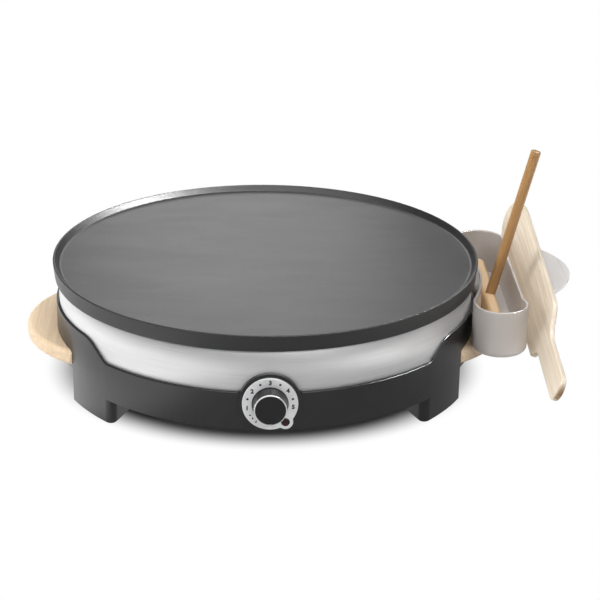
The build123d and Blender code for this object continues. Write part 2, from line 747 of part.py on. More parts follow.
leg_angles = {
    "front_right": leg_angle - 90,
    "rear_right": 90 - leg_angle,
    "rear_left": 90 + leg_angle,
    "front_left": 270 - leg_angle,
}
beyond_wall = housing_radius + 3 * leg_round
with BuildPart() as wall_pads:
    with BuildSketch(dial_plane):
        Circle(dial_pad_radius)
        with Locations((lamp_x, lamp_rise)):
            Circle(lamp_lobe + housing_wall)
    extrude(amount=-4 * housing_wall)
    with BuildSketch(inlet_plane):
        Circle(inlet_pad_radius)
    extrude(amount=-4 * housing_wall)
    with BuildSketch(Plane.XY.offset(skirt_bottom)):
        Circle(2 * housing_radius)
        Circle(housing_inner + housing_wall / 4, mode=Mode.SUBTRACT)
    extrude(amount=side_edge, mode=Mode.INTERSECT)
with BuildPart() as base_housing:
    with BuildSketch(Plane.XY.offset(skirt_bottom)):
        Circle(housing_radius + 2 * leg_round)
        Circle(housing_inner, mode=Mode.SUBTRACT)
    extrude(amount=side_edge + housing_wall - skirt_bottom)
    # the wall is low at the front and the rear and rises in a slope towards the handles
    for direction in (1, -1):
        with BuildSketch(Plane.XZ) as window:
            with BuildLine():
                Polyline(
                    (-slope_foot, front_edge),
                    (-slope_foot - slope_run, side_edge),
                    (-beyond_wall, side_edge),
                    (-beyond_wall, side_edge + 2 * housing_wall),
                    (beyond_wall, side_edge + 2 * housing_wall),
                    (beyond_wall, side_edge),
                    (slope_foot + slope_run, side_edge),
                    (slope_foot, front_edge),
                    close=True,
                )
            make_face()
            corners = window.vertices()
            fillet(corners.filter_by(lambda v: v.Y < front_edge + fit), radius=slope_foot_round)
            corners = window.vertices()
            heads = corners.filter_by(
                lambda v: abs(abs(v.X) - slope_foot - slope_run) < fit and v.Y < side_edge + fit
            )
            fillet(heads, radius=slope_head_round)
            if direction == 1:
                with Locations((0, dial_height)):
                    Circle(dial_pad_radius, mode=Mode.SUBTRACT)
                corners = window.vertices()
                beside = corners.filter_by(
                    lambda v: abs(v.X) < dial_pad_radius + fit and v.Y < front_edge + fit
                )
                fillet(beside, radius=dial_pad_round)
        extrude(amount=direction * beyond_wall, mode=Mode.SUBTRACT)
    # finger arches under both handles
    with BuildSketch(Plane.YZ.offset(-beyond_wall)) as arch:
        with Locations((0, ear_bottom)):
            Rectangle(
                2 * arch_half_width,
                2 * (ear_bottom - skirt_bottom),
                align=(Align.CENTER, Align.MAX),
            )
        fillet(arch.vertices().group_by(Axis.Y)[-1], radius=arch_round)
    extrude(amount=2 * beyond_wall, mode=Mode.SUBTRACT)
    # ledge under the drum, and the legs, turned to the wall's outer face
    with BuildSketch(Plane.XY.offset(ledge_bottom)):
        Circle(housing_inner + housing_wall / 2)
        Circle(housing_inner - ledge_width, mode=Mode.SUBTRACT)
        with Locations(*floor_screw_spots):
            Circle(screw_radius + fit, mode=Mode.SUBTRACT)
    extrude(amount=ledge_top - ledge_bottom)
    for angle in leg_angles.values():
        extrude(leg_outline(angle, skirt_bottom, trimmed=False), amount=ledge_top - skirt_bottom)
    with BuildSketch(Plane.XY):
        Circle(2 * housing_radius)
        Circle(housing_radius, mode=Mode.SUBTRACT)
    extrude(amount=side_edge + 2 * housing_wall, mode=Mode.SUBTRACT)
    # the wall's outer top edge is rounded
    brim = base_housing.edges().filter_by(
        lambda edge: hypot((edge @ 0.5).X, (edge @ 0.5).Y) > housing_radius - fit
        and (edge @ 0.5).Z > front_edge - fit
    )
    fillet(brim, radius=brim_round)
    for angle in leg_angles.values():
        extrude(leg_outline(angle, pad_height), amount=skirt_bottom - pad_height)
    # flat pads for the dial, the pilot lamp and the mains inlet
    add(wall_pads.part)
    # ears that carry the wooden handles
    with BuildSketch(Plane.XY.offset(ear_bottom)):
        for side in (-1, 1):
            with Locations((side * ear_x, ear_offset), (side * ear_x, -ear_offset)):
                Rectangle(2 * ear_reach, ear_width)
        Circle(housing_inner + housing_wall / 2, mode=Mode.SUBTRACT)
        with Locations(
            (ear_screw_x, ear_offset),
            (ear_screw_x, -ear_offset),
            (-ear_screw_x, ear_offset),
            (-ear_screw_x, -ear_offset),
        ):
            Circle(screw_radius + fit, mode=Mode.SUBTRACT)
    extrude(amount=ear_thickness)
    # the legs are hollow from below
    for angle in leg_angles.values():
        hollow = leg_outline(angle, pad_height, leg_wall)
        extrude(hollow, amount=ledge_bottom - pad_height, mode=Mode.SUBTRACT)
    with BuildSketch(dial_plane):
        Circle(bush_radius + free_gap)
        with Locations((lamp_x, lamp_rise)):
            Circle(lens_stem + fit)
    extrude(amount=-4 * housing_wall, mode=Mode.SUBTRACT)
    with BuildSketch(inlet_plane):
        Circle(gland_body + fit)
    extrude(amount=-4 * housing_wall, mode=Mode.SUBTRACT)
save(base_housing, "base_housing")

for place, angle in leg_angles.items():
    with BuildPart() as foot_pad:
        extrude(leg_outline(angle, 0, pad_inset), amount=pad_height)
        extrude(leg_outline(angle, pad_height, leg_wall + fit), amount=pad_plug)
        chamfer(foot_pad.faces().sort_by(Axis.Z)[0].edges(), length=pad_height / 3)
    save(foot_pad, f"foot_pad_{place}")

# ---------------------------------------------------------------- wooden handles

for name, side in (("left_handle", -1), ("right_handle", 1)):
    with BuildPart() as handle:
        with BuildSketch(Plane.XY.offset(handle_bottom)):
            with Locations((side * handle_centre, 0)):
                Circle(handle_curve)
        extrude(amount=handle_thickness)
        fillet(handle.edges(), radius=handle_round)
        # the crescent runs out against the wall
        with BuildSketch(Plane.XY.offset(handle_bottom)):
            Circle(handle_inner)
        extrude(amount=handle_thickness, mode=Mode.SUBTRACT)
        with BuildSketch(Plane.XY.offset(handle_bottom)):
            with Locations((side * handle_reach, 0)):
                Rectangle(2 * handle_reach, 2 * handle_half)
        extrude(amount=handle_thickness, mode=Mode.INTERSECT)
        with BuildSketch(Plane.XY.offset(handle_bottom)):
            with Locations((side * ear_screw_x, ear_offset), (side * ear_screw_x, -ear_offset)):
                Circle(screw_radius + fit)
        extrude(amount=2 * thread_reach + fit, mode=Mode.SUBTRACT)
    save(handle, name)

with BuildPart() as handle_screws:
    ear_spots = [(x * ear_screw_x, y * ear_offset) for x in (-1, 1) for y in (-1, 1)]
    with BuildSketch(Plane.XY.offset(ear_bottom)):
        with Locations(*ear_spots):
            Circle(screw_head_radius)
    extrude(amount=-screw_head_height)
    with BuildSketch(Plane.XY.offset(ear_bottom)):
        with Locations(*ear_spots):
            Circle(screw_radius)
    extrude(amount=handle_bottom + 2 * thread_reach - ear_bottom)
save(handle_screws, "handle_screws")

# ---------------------------------------------------------------- thermostat, dial and knob

casing_depth = pad_face - thermostat_face
with BuildPart() as thermostat_body:
    with BuildSketch(dial_plane.offset(-casing_depth)) as casing:
        with Locations((0, (thermostat_above - thermostat_below) / 2)):
            Rectangle(thermostat_width, thermostat_above + thermostat_below)
        fillet(casing.vertices(), radius=thermostat_round)
    extrude(amount=-thermostat_depth)
    with BuildSketch(dial_plane.offset(-casing_depth)):
        Circle(bush_radius)
    extrude(amount=casing_depth + nut_height + bush_end)
    with BuildSketch(dial_plane.offset(nut_height + bush_end)):
        Circle(spindle_radius + running_fit)
    extrude(amount=-casing_depth - nut_height - bush_radius, mode=Mode.SUBTRACT)
save(thermostat_body, "thermostat_body")

with BuildPart() as thermostat_nut:
    with BuildSketch(dial_plane.offset(fit)):
        RegularPolygon(radius=nut_across / 2, side_count=6, major_radius=False)
        Circle(bush_radius + fit, mode=Mode.SUBTRACT)
    extrude(amount=nut_height - fit)
save(thermostat_nut, "thermostat_nut")

with BuildPart() as thermostat_spindle:
    with BuildSketch(dial_plane.offset(spindle_reach)):
        Circle(spindle_radius)
    extrude(amount=-spindle_reach - casing_depth - bush_radius / 2)
save(thermostat_spindle, "thermostat_spindle")

with BuildPart() as dial_ring:
    with BuildSketch(dial_plane):
        Circle(ring_radius)
        with Locations((lamp_x, lamp_rise)):
            Circle(lamp_lobe)
        offset(amount=ring_blend)
        offset(amount=-ring_blend)
        Circle(ring_hole, mode=Mode.SUBTRACT)
        with Locations((lamp_x, lamp_rise)):
            Circle(lens_radius + fit, mode=Mode.SUBTRACT)
    extrude(amount=ring_thickness)
    fillet(dial_ring.faces().sort_by(Axis.Y)[0].outer_wire().edges(), radius=ring_thickness / 3)
save(dial_ring, "dial_ring")

knob_taper = degrees(atan((knob_radius - knob_front_radius) / knob_length))
with BuildPart() as thermostat_knob:
    with BuildSketch(dial_plane.offset(knob_gap)):
        Circle(knob_radius)
    extrude(amount=knob_length, taper=knob_taper)
    fillet(thermostat_knob.faces().sort_by(Axis.Y)[0].edges(), radius=knob_round)
    with BuildSketch(dial_plane.offset(knob_gap)):
        Circle(knob_radius - knob_wall)
    extrude(amount=knob_recess, mode=Mode.SUBTRACT)
    with BuildSketch(dial_plane.offset(knob_gap)):
        Circle(spindle_radius + fit / 2)
    extrude(amount=spindle_reach + fit - knob_gap, mode=Mode.SUBTRACT)
    with BuildSketch(dial_plane.offset(knob_gap + knob_length)):
        with Locations((0, -knob_front_radius)):
            Rectangle(pointer_width, 2 * pointer_length)
    extrude(amount=-pointer_depth, mode=Mode.SUBTRACT)
save(thermostat_knob, "thermostat_knob")

with BuildPart() as pilot_lens:
    with BuildSketch(dial_plane):
        with Locations((lamp_x, lamp_rise)):
            Circle(lens_radius)
    extrude(amount=ring_thickness + lens_proud)
    fillet(pilot_lens.faces().sort_by(Axis.Y)[0].edges(), radius=lens_round)
    with BuildSketch(dial_plane):
        with Locations((lamp_x, lamp_rise)):
            Circle(lens_stem)
    extrude(amount=lamp_face + fit - pad_face)
save(pilot_lens, "pilot_lens")

with BuildPart() as pilot_lamp:
    with BuildSketch(dial_plane.offset(lamp_face - pad_face)):
        with Locations((lamp_x, lamp_rise)):
            Circle(lamp_radius)
    extrude(amount=-lamp_length)
    fillet(pilot_lamp.faces().sort_by(Axis.Y)[-1].edges(), radius=lamp_radius / 2)
save(pilot_lamp, "pilot_lamp")

# ---------------------------------------------------------------- mains connection

with BuildPart() as cord_gland:
    with BuildSketch(inlet_plane):
        Circle(gland_radius)
    extrude(amount=gland_proud, taper=gland_taper)
    fillet(cord_gland.faces().sort_by(Axis.Y)[-1].edges(), radius=gland_round)
    with BuildSketch(inlet_plane):
        Circle(gland_body)
    extrude(amount=gland_nut_face - gland_inside - pad_face)
    with BuildSketch(inlet_plane.offset(gland_proud)):
        Circle(gland_bore)
    extrude(amount=gland_nut_face - gland_inside - pad_face - gland_proud, mode=Mode.SUBTRACT)
save(cord_gland, "cord_gland")

with BuildPart() as gland_nut:
    with BuildSketch(inlet_plane.offset(gland_nut_face - pad_face)):
        RegularPolygon(radius=gland_nut_across / 2, side_count=6, major_radius=False)
        Circle(gland_body + fit, mode=Mode.SUBTRACT)
    extrude(amount=-gland_nut_height)
save(gland_nut, "gland_nut")

block_pitch = block_width / 3
block_spots = [(offset_x * block_pitch, block_y) for offset_x in (-1, 0, 1)]
wire_height = floor_top + block_height / 3
with BuildPart() as terminal_block:
    with BuildSketch(Plane.XY.offset(floor_top)) as block_plan:
        with Locations((0, block_y)):
            Rectangle(block_width, block_depth)
        fillet(block_plan.vertices(), radius=block_hole)
    extrude(amount=block_height)
    with BuildSketch(Plane.XZ.offset(-block_y - block_depth / 2)):
        with Locations(*[(x, wire_height) for x, y in block_spots]):
            Circle(lead_radius + free_gap)
    extrude(amount=block_depth, mode=Mode.SUBTRACT)
    with BuildSketch(Plane.XY.offset(floor_top + block_height)):
        with Locations(*block_spots):
            Circle(block_hole)
    extrude(amount=-block_height / 2, mode=Mode.SUBTRACT)
save(terminal_block, "terminal_block")

with BuildPart() as terminal_screws:
    with BuildSketch(Plane.XY.offset(floor_top + block_height / 2 + fit)):
        with Locations(*block_spots):
            Circle(block_hole - fit)
    extrude(amount=block_height / 3)
save(terminal_screws, "terminal_screws")

# ---------------------------------------------------------------- internal wiring


def lead(radius, bend, *points):
    """Round lead along straight runs, with a bend at each point between its ends."""
    with BuildLine(mode=Mode.PRIVATE) as run:
        FilletPolyline(*points, radius=bend)
    start = Plane(origin=run.line @ 0, z_dir=run.line % 0)
    with BuildSketch(start, mode=Mode.PRIVATE) as section:
        Circle(radius)
    sweep(section.sketch, path=run.line)


block_front = block_y - block_depth / 2
block_rear = block_y + block_depth / 2
cutout_bottom = plate_seat - 2 * fit - cutout_height
pin_bottom = tail_end - 2 * fit - pin_length
casing_back = fit - thermostat_rear
lead_height = dial_height + thermostat_above / 2
with BuildPart() as live_lead:
    lead(
        lead_radius,
        lead_bend,
        (0, block_front + lead_seat, wire_height),
        (0, block_front - 2 * lead_bend, wire_height),
        (lead_swing, block_front - 5 * lead_bend, wire_height),
        (lead_swing, casing_back + 5 * lead_bend, wire_height),
        (-2 * cutout_lead, casing_back + 2 * lead_bend, wire_height),
        (-2 * cutout_lead, casing_back, wire_height),
    )
save(live_lead, "live_lead")

with BuildPart() as element_lead:
    lead(
        lead_radius,
        lead_bend,
        (cutout_lead, cutout_y, cutout_bottom),
        (cutout_lead, cutout_y, lead_height),
        (cutout_lead, casing_back, lead_height),
    )
save(element_lead, "element_lead")

with BuildPart() as cutout_return:
    lead(
        lead_radius,
        lead_end_bend,
        (-cutout_lead, cutout_y, cutout_bottom),
        (-cutout_lead, cutout_y, pin_bottom - lead_end_bend - fit),
        (*tail_spots[1], pin_bottom - lead_end_bend - fit),
        (*tail_spots[1], pin_bottom),
    )
save(cutout_return, "cutout_lead")

with BuildPart() as neutral_lead:
    lead(
        lead_radius,
        lead_end_bend,
        (block_pitch, block_rear - lead_seat, wire_height),
        (*tail_spots[0], wire_height),
        (*tail_spots[0], pin_bottom),
    )
save(neutral_lead, "neutral_lead")

with BuildPart() as earth_lead:
    lead(
        lead_radius,
        lead_end_bend,
        (-block_pitch, block_front + lead_seat, wire_height),
        (-block_pitch, block_y - tag_y, wire_height),
        (fit - tag_x, block_y - tag_y, wire_height),
    )
save(earth_lead, "earth_lead")

with BuildPart() as earth_tag:
    with BuildSketch(Plane.XZ.offset(tag_y - block_y)):
        with Locations((-tag_x, floor_top)):
            Rectangle(tag_foot, tag_sheet, align=(Align.MAX, Align.MIN))
            Rectangle(tag_sheet, tag_height, align=(Align.MAX, Align.MIN))
    extrude(amount=tag_width / 2, both=True)
save(earth_tag, "earth_tag")

with BuildPart() as lamp_leads:
    for side in (-lamp_lead, lamp_lead):
        lead(
            lamp_lead_radius,
            lead_end_bend,
            (lamp_x + side, fit + lamp_length - lamp_face, dial_height + lamp_rise),
            (lamp_x + side, 2 * lead_bend + lamp_length - lamp_face, dial_height + lamp_rise),
            (side, -vent_circle - lead_bend, dial_height + lamp_rise),
            (side, -vent_circle, dial_height + lamp_rise),
            (side, -vent_circle, floor_top + lamp_lead_height),
            (side, casing_back, floor_top + lamp_lead_height),
        )
save(lamp_leads, "lamp_leads")

# ---------------------------------------------------------------- accessory holder


def holder_plan(height, inset=0.0):
    """Plan of the holder's cup: two round ends, a straight front and a back that follows the plate."""
    back = lobe_x - lobe_radius
    with BuildSketch(Plane.XY.offset(height), mode=Mode.PRIVATE) as plan:
        with Locations((lobe_x, holder_y + lobe_y), (lobe_x, holder_y - lobe_y)):
            Circle(lobe_radius)
        with Locations(((back + holder_outer) / 2, holder_y)):
            Rectangle(holder_outer - back, 2 * lobe_y)
        Circle(holder_inner, mode=Mode.SUBTRACT)
        bends = plan.vertices().filter_by(lambda v: abs(v.Y - holder_y) < lobe_y - fit)
        fillet(bends, radius=holder_blend)
        if inset:
            offset(amount=-inset)
    return plan.sketch


wall_depth = spatula_thickness + free_gap
with BuildPart() as pocket_wall:
    with BuildSketch(spatula_plane.offset(wall_depth)):
        with Locations(((pocket_start + pocket_end) / 2, spatula_width / 2)):
            Rectangle(pocket_end - pocket_start, 2 * spatula_width)
    extrude(amount=holder_wall)
    split(bisect_by=Plane.XY.offset(tab_bottom), keep=Keep.BOTTOM)
    split(bisect_by=Plane.XY.offset(holder_floor), keep=Keep.TOP)


def tab_plan(height, shrink):
    """Plan of the tab: an arc outside and a straight edge along the spatula inside."""
    edge = [spatula_point(along, holder_top, wall_depth) for along in (0, spatula_blade)]
    with BuildSketch(Plane.XY.offset(height), mode=Mode.PRIVATE) as plan:
        with Locations((tab_reach - tab_radius, holder_y)):
            Circle(tab_radius - shrink)
            Rectangle(2 * tab_radius, 2 * (tab_half_width - shrink), mode=Mode.INTERSECT)
        with BuildLine():
            Polyline(
                (edge[0].X, edge[0].Y),
                (tab_reach + tab_radius, edge[0].Y),
                (tab_reach + tab_radius, edge[1].Y),
                (edge[1].X, edge[1].Y),
                close=True,
            )
        make_face(mode=Mode.INTERSECT)
    return plan.sketch


with BuildPart() as accessory_holder:
    extrude(holder_plan(holder_floor), amount=holder_top - holder_floor)
    fillet(accessory_holder.faces().sort_by(Axis.Z)[0].edges(), radius=holder_floor_round)
    extrude(
        holder_plan(pocket_floor, holder_wall),
        amount=holder_top - pocket_floor,
        mode=Mode.SUBTRACT,
    )
    fillet(accessory_holder.faces().sort_by(Axis.Z)[-1].edges(), radius=holder_lip_round)
    # clip that grips the edge of the wooden handle
    with BuildSketch(Plane.XZ.offset(clip_half_width - holder_y)):
        with BuildLine():
            Polyline(
                (clip_outer - jaw_reach, jaw_bottom),
                (clip_outer, jaw_bottom),
                (clip_outer, holder_floor + holder_wall / 2),
                (clip_inner, holder_floor + holder_wall / 2),
                (clip_inner, jaw_top),
                (clip_outer - jaw_reach, jaw_top),
                close=True,
            )
        make_face()
    extrude(amount=-2 * clip_half_width)
    # pocket for the spatula: a floor, a leaning wall and a flange under the tab
    add(pocket_wall.part)
    with BuildSketch(Plane.XY.offset(holder_floor)):
        with BuildLine():
            near = spatula_point(pocket_start, holder_floor, wall_depth + holder_wall)
            far = spatula_point(pocket_end, holder_floor, wall_depth + holder_wall)
            Polyline(
                (holder_outer - holder_wall / 2, near.Y),
                (near.X, near.Y),
                (far.X, far.Y),
                (holder_outer - holder_wall / 2, far.Y),
                close=True,
            )
        make_face()
    extrude(amount=holder_wall)
    extrude(tab_plan(tab_bottom - holder_wall, tab_flange / 4), amount=holder_wall)
    # ribs under the lower edge of the spatula
    for along in rib_places:
        corner = spatula_plane.from_local_coords(Vector(along, -free_gap, 0))
        lower = spatula_plane.from_local_coords(Vector(along, -free_gap, wall_depth))
        wall_foot = spatula_point(along, pocket_floor, wall_depth)
        with BuildSketch(Plane.XZ.offset(-corner.Y)):
            with BuildLine():
                Polyline(
                    (holder_outer - holder_wall / 2, pocket_floor - holder_wall / 2),
                    (holder_outer - holder_wall / 2, corner.Z),
                    (corner.X, corner.Z),
                    (lower.X, lower.Z),
                    (wall_foot.X, pocket_floor - holder_wall / 2),
                    close=True,
                )
            make_face()
        extrude(amount=-rib_thickness)
save(accessory_holder, "accessory_holder")

with BuildPart() as holder_tab:
    extrude(tab_plan(tab_bottom, 0), amount=tab_thickness)
    tab_corners = holder_tab.edges().filter_by(Axis.Z)
    fillet(tab_corners.sort_by(Axis.X)[-2:], radius=tab_corner)
    fillet(holder_tab.faces().sort_by(Axis.Z)[-1].edges(), radius=tab_thickness / 3)
    with BuildSketch(Plane.XY.offset(holder_top)):
        with Locations((tab_reach - tab_corner, holder_y)):
            SlotOverall(tab_groove, tab_groove_width, rotation=90)
    extrude(amount=-tab_thickness / 4, mode=Mode.SUBTRACT)
save(holder_tab, "holder_tab")

# ---------------------------------------------------------------- batter spreader

bar_section = Plane(origin=bar_plane.origin, x_dir=bar_plane.x_dir, z_dir=(0, -1, 0))
with BuildPart() as spreader_bar:
    with BuildSketch(bar_section) as bar_profile:
        Rectangle(bar_width, bar_height)
        fillet(bar_profile.vertices().group_by(Axis.Y)[-1], radius=bar_back_round)
    extrude(amount=bar_length / 2, both=True)
    fillet(spreader_bar.faces().filter_by(Axis.Y).edges(), radius=bar_end_round)
    with BuildSketch(bar_plane.offset(bar_height / 2)):
        Circle(stick_radius + fit / 2)
    extrude(amount=-stick_seat, mode=Mode.SUBTRACT)
save(spreader_bar, "spreader_bar")

with BuildPart() as spreader_stick:
    stick_length = (stick_top - bar_z) / stick_direction.Z - bar_height / 2 + stick_seat
    with BuildSketch(bar_plane.offset(bar_height / 2 - stick_seat + fit)):
        Circle(stick_radius)
    extrude(amount=stick_length - fit)
    fillet(spreader_stick.faces().sort_by(Axis.Z)[-1].edges(), radius=stick_radius / 4)
save(spreader_stick, "spreader_stick")

# ---------------------------------------------------------------- spatula

grip_low = (spatula_width - spatula_neck) / 2 - spatula_grip_drop  # lower edge of the grip
grip_high = grip_low + spatula_neck
grip_round_start = spatula_neck / 2 - spatula_grip
with BuildPart() as crepe_spatula:
    with BuildSketch(spatula_plane):
        with BuildLine():
            Line((spatula_neck / 4, 0), (spatula_blade - spatula_tip, 0))
            EllipticalCenterArc(
                (spatula_blade - spatula_tip, spatula_width / 2),
                x_radius=spatula_tip,
                y_radius=spatula_width / 2,
                start_angle=-90,
                arc_size=180,
            )
            Line(
                (spatula_blade - spatula_tip, spatula_width),
                (spatula_neck, spatula_width),
            )
            Spline(
                (spatula_neck, spatula_width),
                (-spatula_neck, grip_high),
                tangents=((-1, 0), (-1, 0)),
            )
            Line((-spatula_neck, grip_high), (grip_round_start, grip_high))
            ThreePointArc(
                (grip_round_start, grip_high),
                (-spatula_grip, (grip_low + grip_high) / 2),
                (grip_round_start, grip_low),
            )
            Line((grip_round_start, grip_low), (-spatula_neck / 2, grip_low))
            Spline(
                (-spatula_neck / 2, grip_low),
                (spatula_neck / 4, 0),
                tangents=((1, 0), (1, 0)),
            )
        make_face()
    extrude(amount=spatula_thickness)
    rims = crepe_spatula.faces().filter_by(Axis((0, 0, 0), spatula_plane.z_dir)).edges()
    fillet(rims, radius=spatula_edge_round)
    # the blade thins towards its upper edge, from nothing at the shoulder
    bevel_end = spatula_blade - spatula_tip / 2
    bevel_start = Vector(spatula_neck / 2, spatula_width, 0)
    bevel_crease = Vector(bevel_end, spatula_width - spatula_bevel_width, 0) - bevel_start
    bevel_fall = Vector(bevel_end, spatula_width, spatula_bevel_depth) - bevel_start
    bevel_normal = spatula_plane.from_local_coords(bevel_crease.cross(bevel_fall))
    bevel = Plane(
        origin=spatula_plane.from_local_coords(bevel_start),
        z_dir=bevel_normal - spatula_plane.origin,
    )
    split(bisect_by=bevel, keep=Keep.TOP)
save(crepe_spatula, "crepe_spatula")
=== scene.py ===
import json
from math import atan2, cos, pi, radians, sin, sqrt, tan

import bmesh
import bpy
from mathutils import Matrix, Vector

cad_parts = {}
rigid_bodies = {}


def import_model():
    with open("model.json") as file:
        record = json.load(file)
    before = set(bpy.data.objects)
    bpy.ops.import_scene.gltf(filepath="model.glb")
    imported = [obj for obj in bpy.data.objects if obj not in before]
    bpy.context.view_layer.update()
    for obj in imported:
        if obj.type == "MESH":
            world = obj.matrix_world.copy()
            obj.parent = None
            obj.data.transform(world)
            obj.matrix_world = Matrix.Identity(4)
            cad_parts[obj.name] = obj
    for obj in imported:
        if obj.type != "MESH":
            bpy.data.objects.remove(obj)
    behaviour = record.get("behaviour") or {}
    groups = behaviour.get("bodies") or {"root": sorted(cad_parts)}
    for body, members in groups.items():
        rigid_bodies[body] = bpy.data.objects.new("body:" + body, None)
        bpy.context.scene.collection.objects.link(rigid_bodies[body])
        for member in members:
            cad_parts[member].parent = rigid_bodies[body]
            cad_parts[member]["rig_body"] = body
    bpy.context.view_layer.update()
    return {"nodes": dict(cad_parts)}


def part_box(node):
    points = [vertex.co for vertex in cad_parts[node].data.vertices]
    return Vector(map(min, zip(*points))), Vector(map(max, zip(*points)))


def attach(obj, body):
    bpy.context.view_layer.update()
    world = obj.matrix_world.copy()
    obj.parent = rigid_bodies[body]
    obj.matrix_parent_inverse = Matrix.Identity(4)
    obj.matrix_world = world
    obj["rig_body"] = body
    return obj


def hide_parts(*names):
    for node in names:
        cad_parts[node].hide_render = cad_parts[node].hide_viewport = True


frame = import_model()
nodes = frame["nodes"]
scene = bpy.context.scene
scene.view_settings.view_transform = "Standard"
print("frame loaded:", len(nodes), "nodes")

dialHeight = 0.0495  # of the knob's axis
mergeDistance = 2e-6  # joins the loose triangles of a node


# sums on node sockets, written as plain expressions

def addNode(tree, kind, settings=None, inputs=None, output=0):
    made = tree.nodes.new(kind)
    for key, value in (settings or {}).items():
        if key == "stops":
            ramp = made.color_ramp
            while len(ramp.elements) < len(value):
                ramp.elements.new(0.5)
            for element, (place, colour) in zip(ramp.elements, value):
                element.position = place
                element.color = (*colour, 1)
        else:
            setattr(made, key, value)
    for key, value in (inputs or {}).items():
        if isinstance(value, Wire):
            tree.links.new(value.socket, made.inputs[key])
        else:
            made.inputs[key].default_value = value
    return Wire(tree, made.outputs[output])


class Wire:
    def __init__(self, tree, socket):
        self.tree = tree
        self.socket = socket

    def maths(self, operation, *values, clamp=False):
        settings = {"operation": operation, "use_clamp": clamp}
        return addNode(self.tree, "ShaderNodeMath", settings, dict(enumerate(values)))

    def __add__(self, other):
        return self.maths("ADD", self, other)

    def __radd__(self, other):
        return self.maths("ADD", other, self)

    def __sub__(self, other):
        return self.maths("SUBTRACT", self, other)

    def __rsub__(self, other):
        return self.maths("SUBTRACT", other, self)

    def __mul__(self, other):
        return self.maths("MULTIPLY", self, other)

    def __rmul__(self, other):
        return self.maths("MULTIPLY", other, self)

    def __truediv__(self, other):
        return self.maths("DIVIDE", self, other)

    def __rtruediv__(self, other):
        return self.maths("DIVIDE", other, self)

    def __pow__(self, other):
        return self.maths("POWER", self, other)

    def clamped(self):
        return self.maths("ADD", self, 0.0, clamp=True)


def objectPoint(tree):
    return addNode(tree, "ShaderNodeTexCoord", output="Object")


def along(tree, axis):
    # how far a point of the piece lies along an axis
    inputs = {0: objectPoint(tree), 1: axis}
    return addNode(tree, "ShaderNodeVectorMath", {"operation": "DOT_PRODUCT"}, inputs, "Value")


def pieceAxes(tree):
    return [along(tree, axis) for axis in ((1, 0, 0), (0, 1, 0), (0, 0, 1))]


def combined(tree, x, y, z=0.0):
    return addNode(tree, "ShaderNodeCombineXYZ", None, {"X": x, "Y": y, "Z": z})


def noise(tree, vector, scale, detail=2.0, roughness=0.5, distortion=0.0):
    inputs = {
        "Vector": vector,
        "Scale": scale,
        "Detail": detail,
        "Roughness": roughness,
        "Distortion": distortion,
    }
    return addNode(tree, "ShaderNodeTexNoise", None, inputs, "Fac")


def drawnOut(tree, axes, scales, *numbers):
    # a noise with a scale of its own along each axis
    vector = combined(tree, *(axis * scale for axis, scale in zip(axes, scales)))
    return noise(tree, vector, 1.0, *numbers)


def spread(value, low, high):
    # stretches the part of a pattern between low and high over 0 to 1
    inputs = {"Value": value, "From Min": low, "From Max": high}
    return addNode(value.tree, "ShaderNodeMapRange", {"clamp": True}, inputs, "Result")


def summed(patterns, shares, base=0.0):
    # the base and each pattern times its share
    for key, share in shares.items():
        base = base + patterns[key] * share
    return base


def mixColour(tree, factor, first, second):
    inputs = {0: factor}
    for key, colour in ((6, first), (7, second)):
        inputs[key] = colour if isinstance(colour, Wire) else (*colour, 1)
    return addNode(tree, "ShaderNodeMix", {"data_type": "RGBA"}, inputs, 2)


def bumpFrom(tree, height, strength, distance):
    inputs = {"Height": height, "Strength": strength, "Distance": distance}
    return addNode(tree, "ShaderNodeBump", None, inputs, "Normal")


def newMaterial(name, fixed):
    # fixed holds the shader values that are the same all over the surface
    material = bpy.data.materials.new(name)
    material.use_nodes = True
    tree = material.node_tree
    shader = tree.nodes["Principled BSDF"]
    for key, value in fixed.items():
        shader.inputs[key].default_value = (*value, 1) if isinstance(value, tuple) else value
    return material, tree, shader


def feed(tree, shader, **links):
    names = {"colour": "Base Color", "roughness": "Roughness", "normal": "Normal", "metal": "Metallic"}
    for key, wire in links.items():
        tree.links.new(wire.socket, shader.inputs[names[key]])


# materials
# a pattern's numbers are its scale, detail, roughness and distortion, as far as they are given
# tone, gloss and relief hold what each pattern adds to the colour, the roughness and the height
# range is the part of the tone that runs from dark to light, and bump a strength and a depth

def shades(tree, look, patterns):
    tone = spread(summed(patterns, look["tone"]), *look["range"])
    colour = mixColour(tree, tone, look["dark"], look["light"])
    rough = summed(patterns, look["gloss"], look["roughness"])
    bump = bumpFrom(tree, summed(patterns, look["relief"]), *look["bump"])
    return colour, rough, bump


def evenPatterns(tree, look):
    point = objectPoint(tree)
    return {key: noise(tree, point, *numbers) for key, numbers in look["patterns"].items()}


def evenFinish(name, look):
    # a finish whose patterns are the same in every direction
    material, tree, shader = newMaterial(name, look["fixed"])
    colour, rough, bump = shades(tree, look, evenPatterns(tree, look))
    feed(tree, shader, colour=colour, roughness=rough, normal=bump)
    return material


def plastic(dark, light, roughness, level, grainScale=1400.0, grainDepth=0.00004, coat=0.0):
    return {
        "dark": dark,
        "light": light,
        "roughness": roughness,
        "patterns": {"cloud": (14.0, 3.0, 0.55), "grain": (grainScale, 2.0, 0.6)},
        "tone": {"cloud": 0.75, "grain": 0.25},
        "range": (0.35, 0.65),
        "gloss": {"cloud": 0.10, "grain": 0.14},
        "relief": {"grain": 1.0},
        "bump": (0.25, grainDepth),
        "fixed": {"Specular IOR Level": level, "Coat Weight": coat, "Coat Roughness": 0.15},
    }


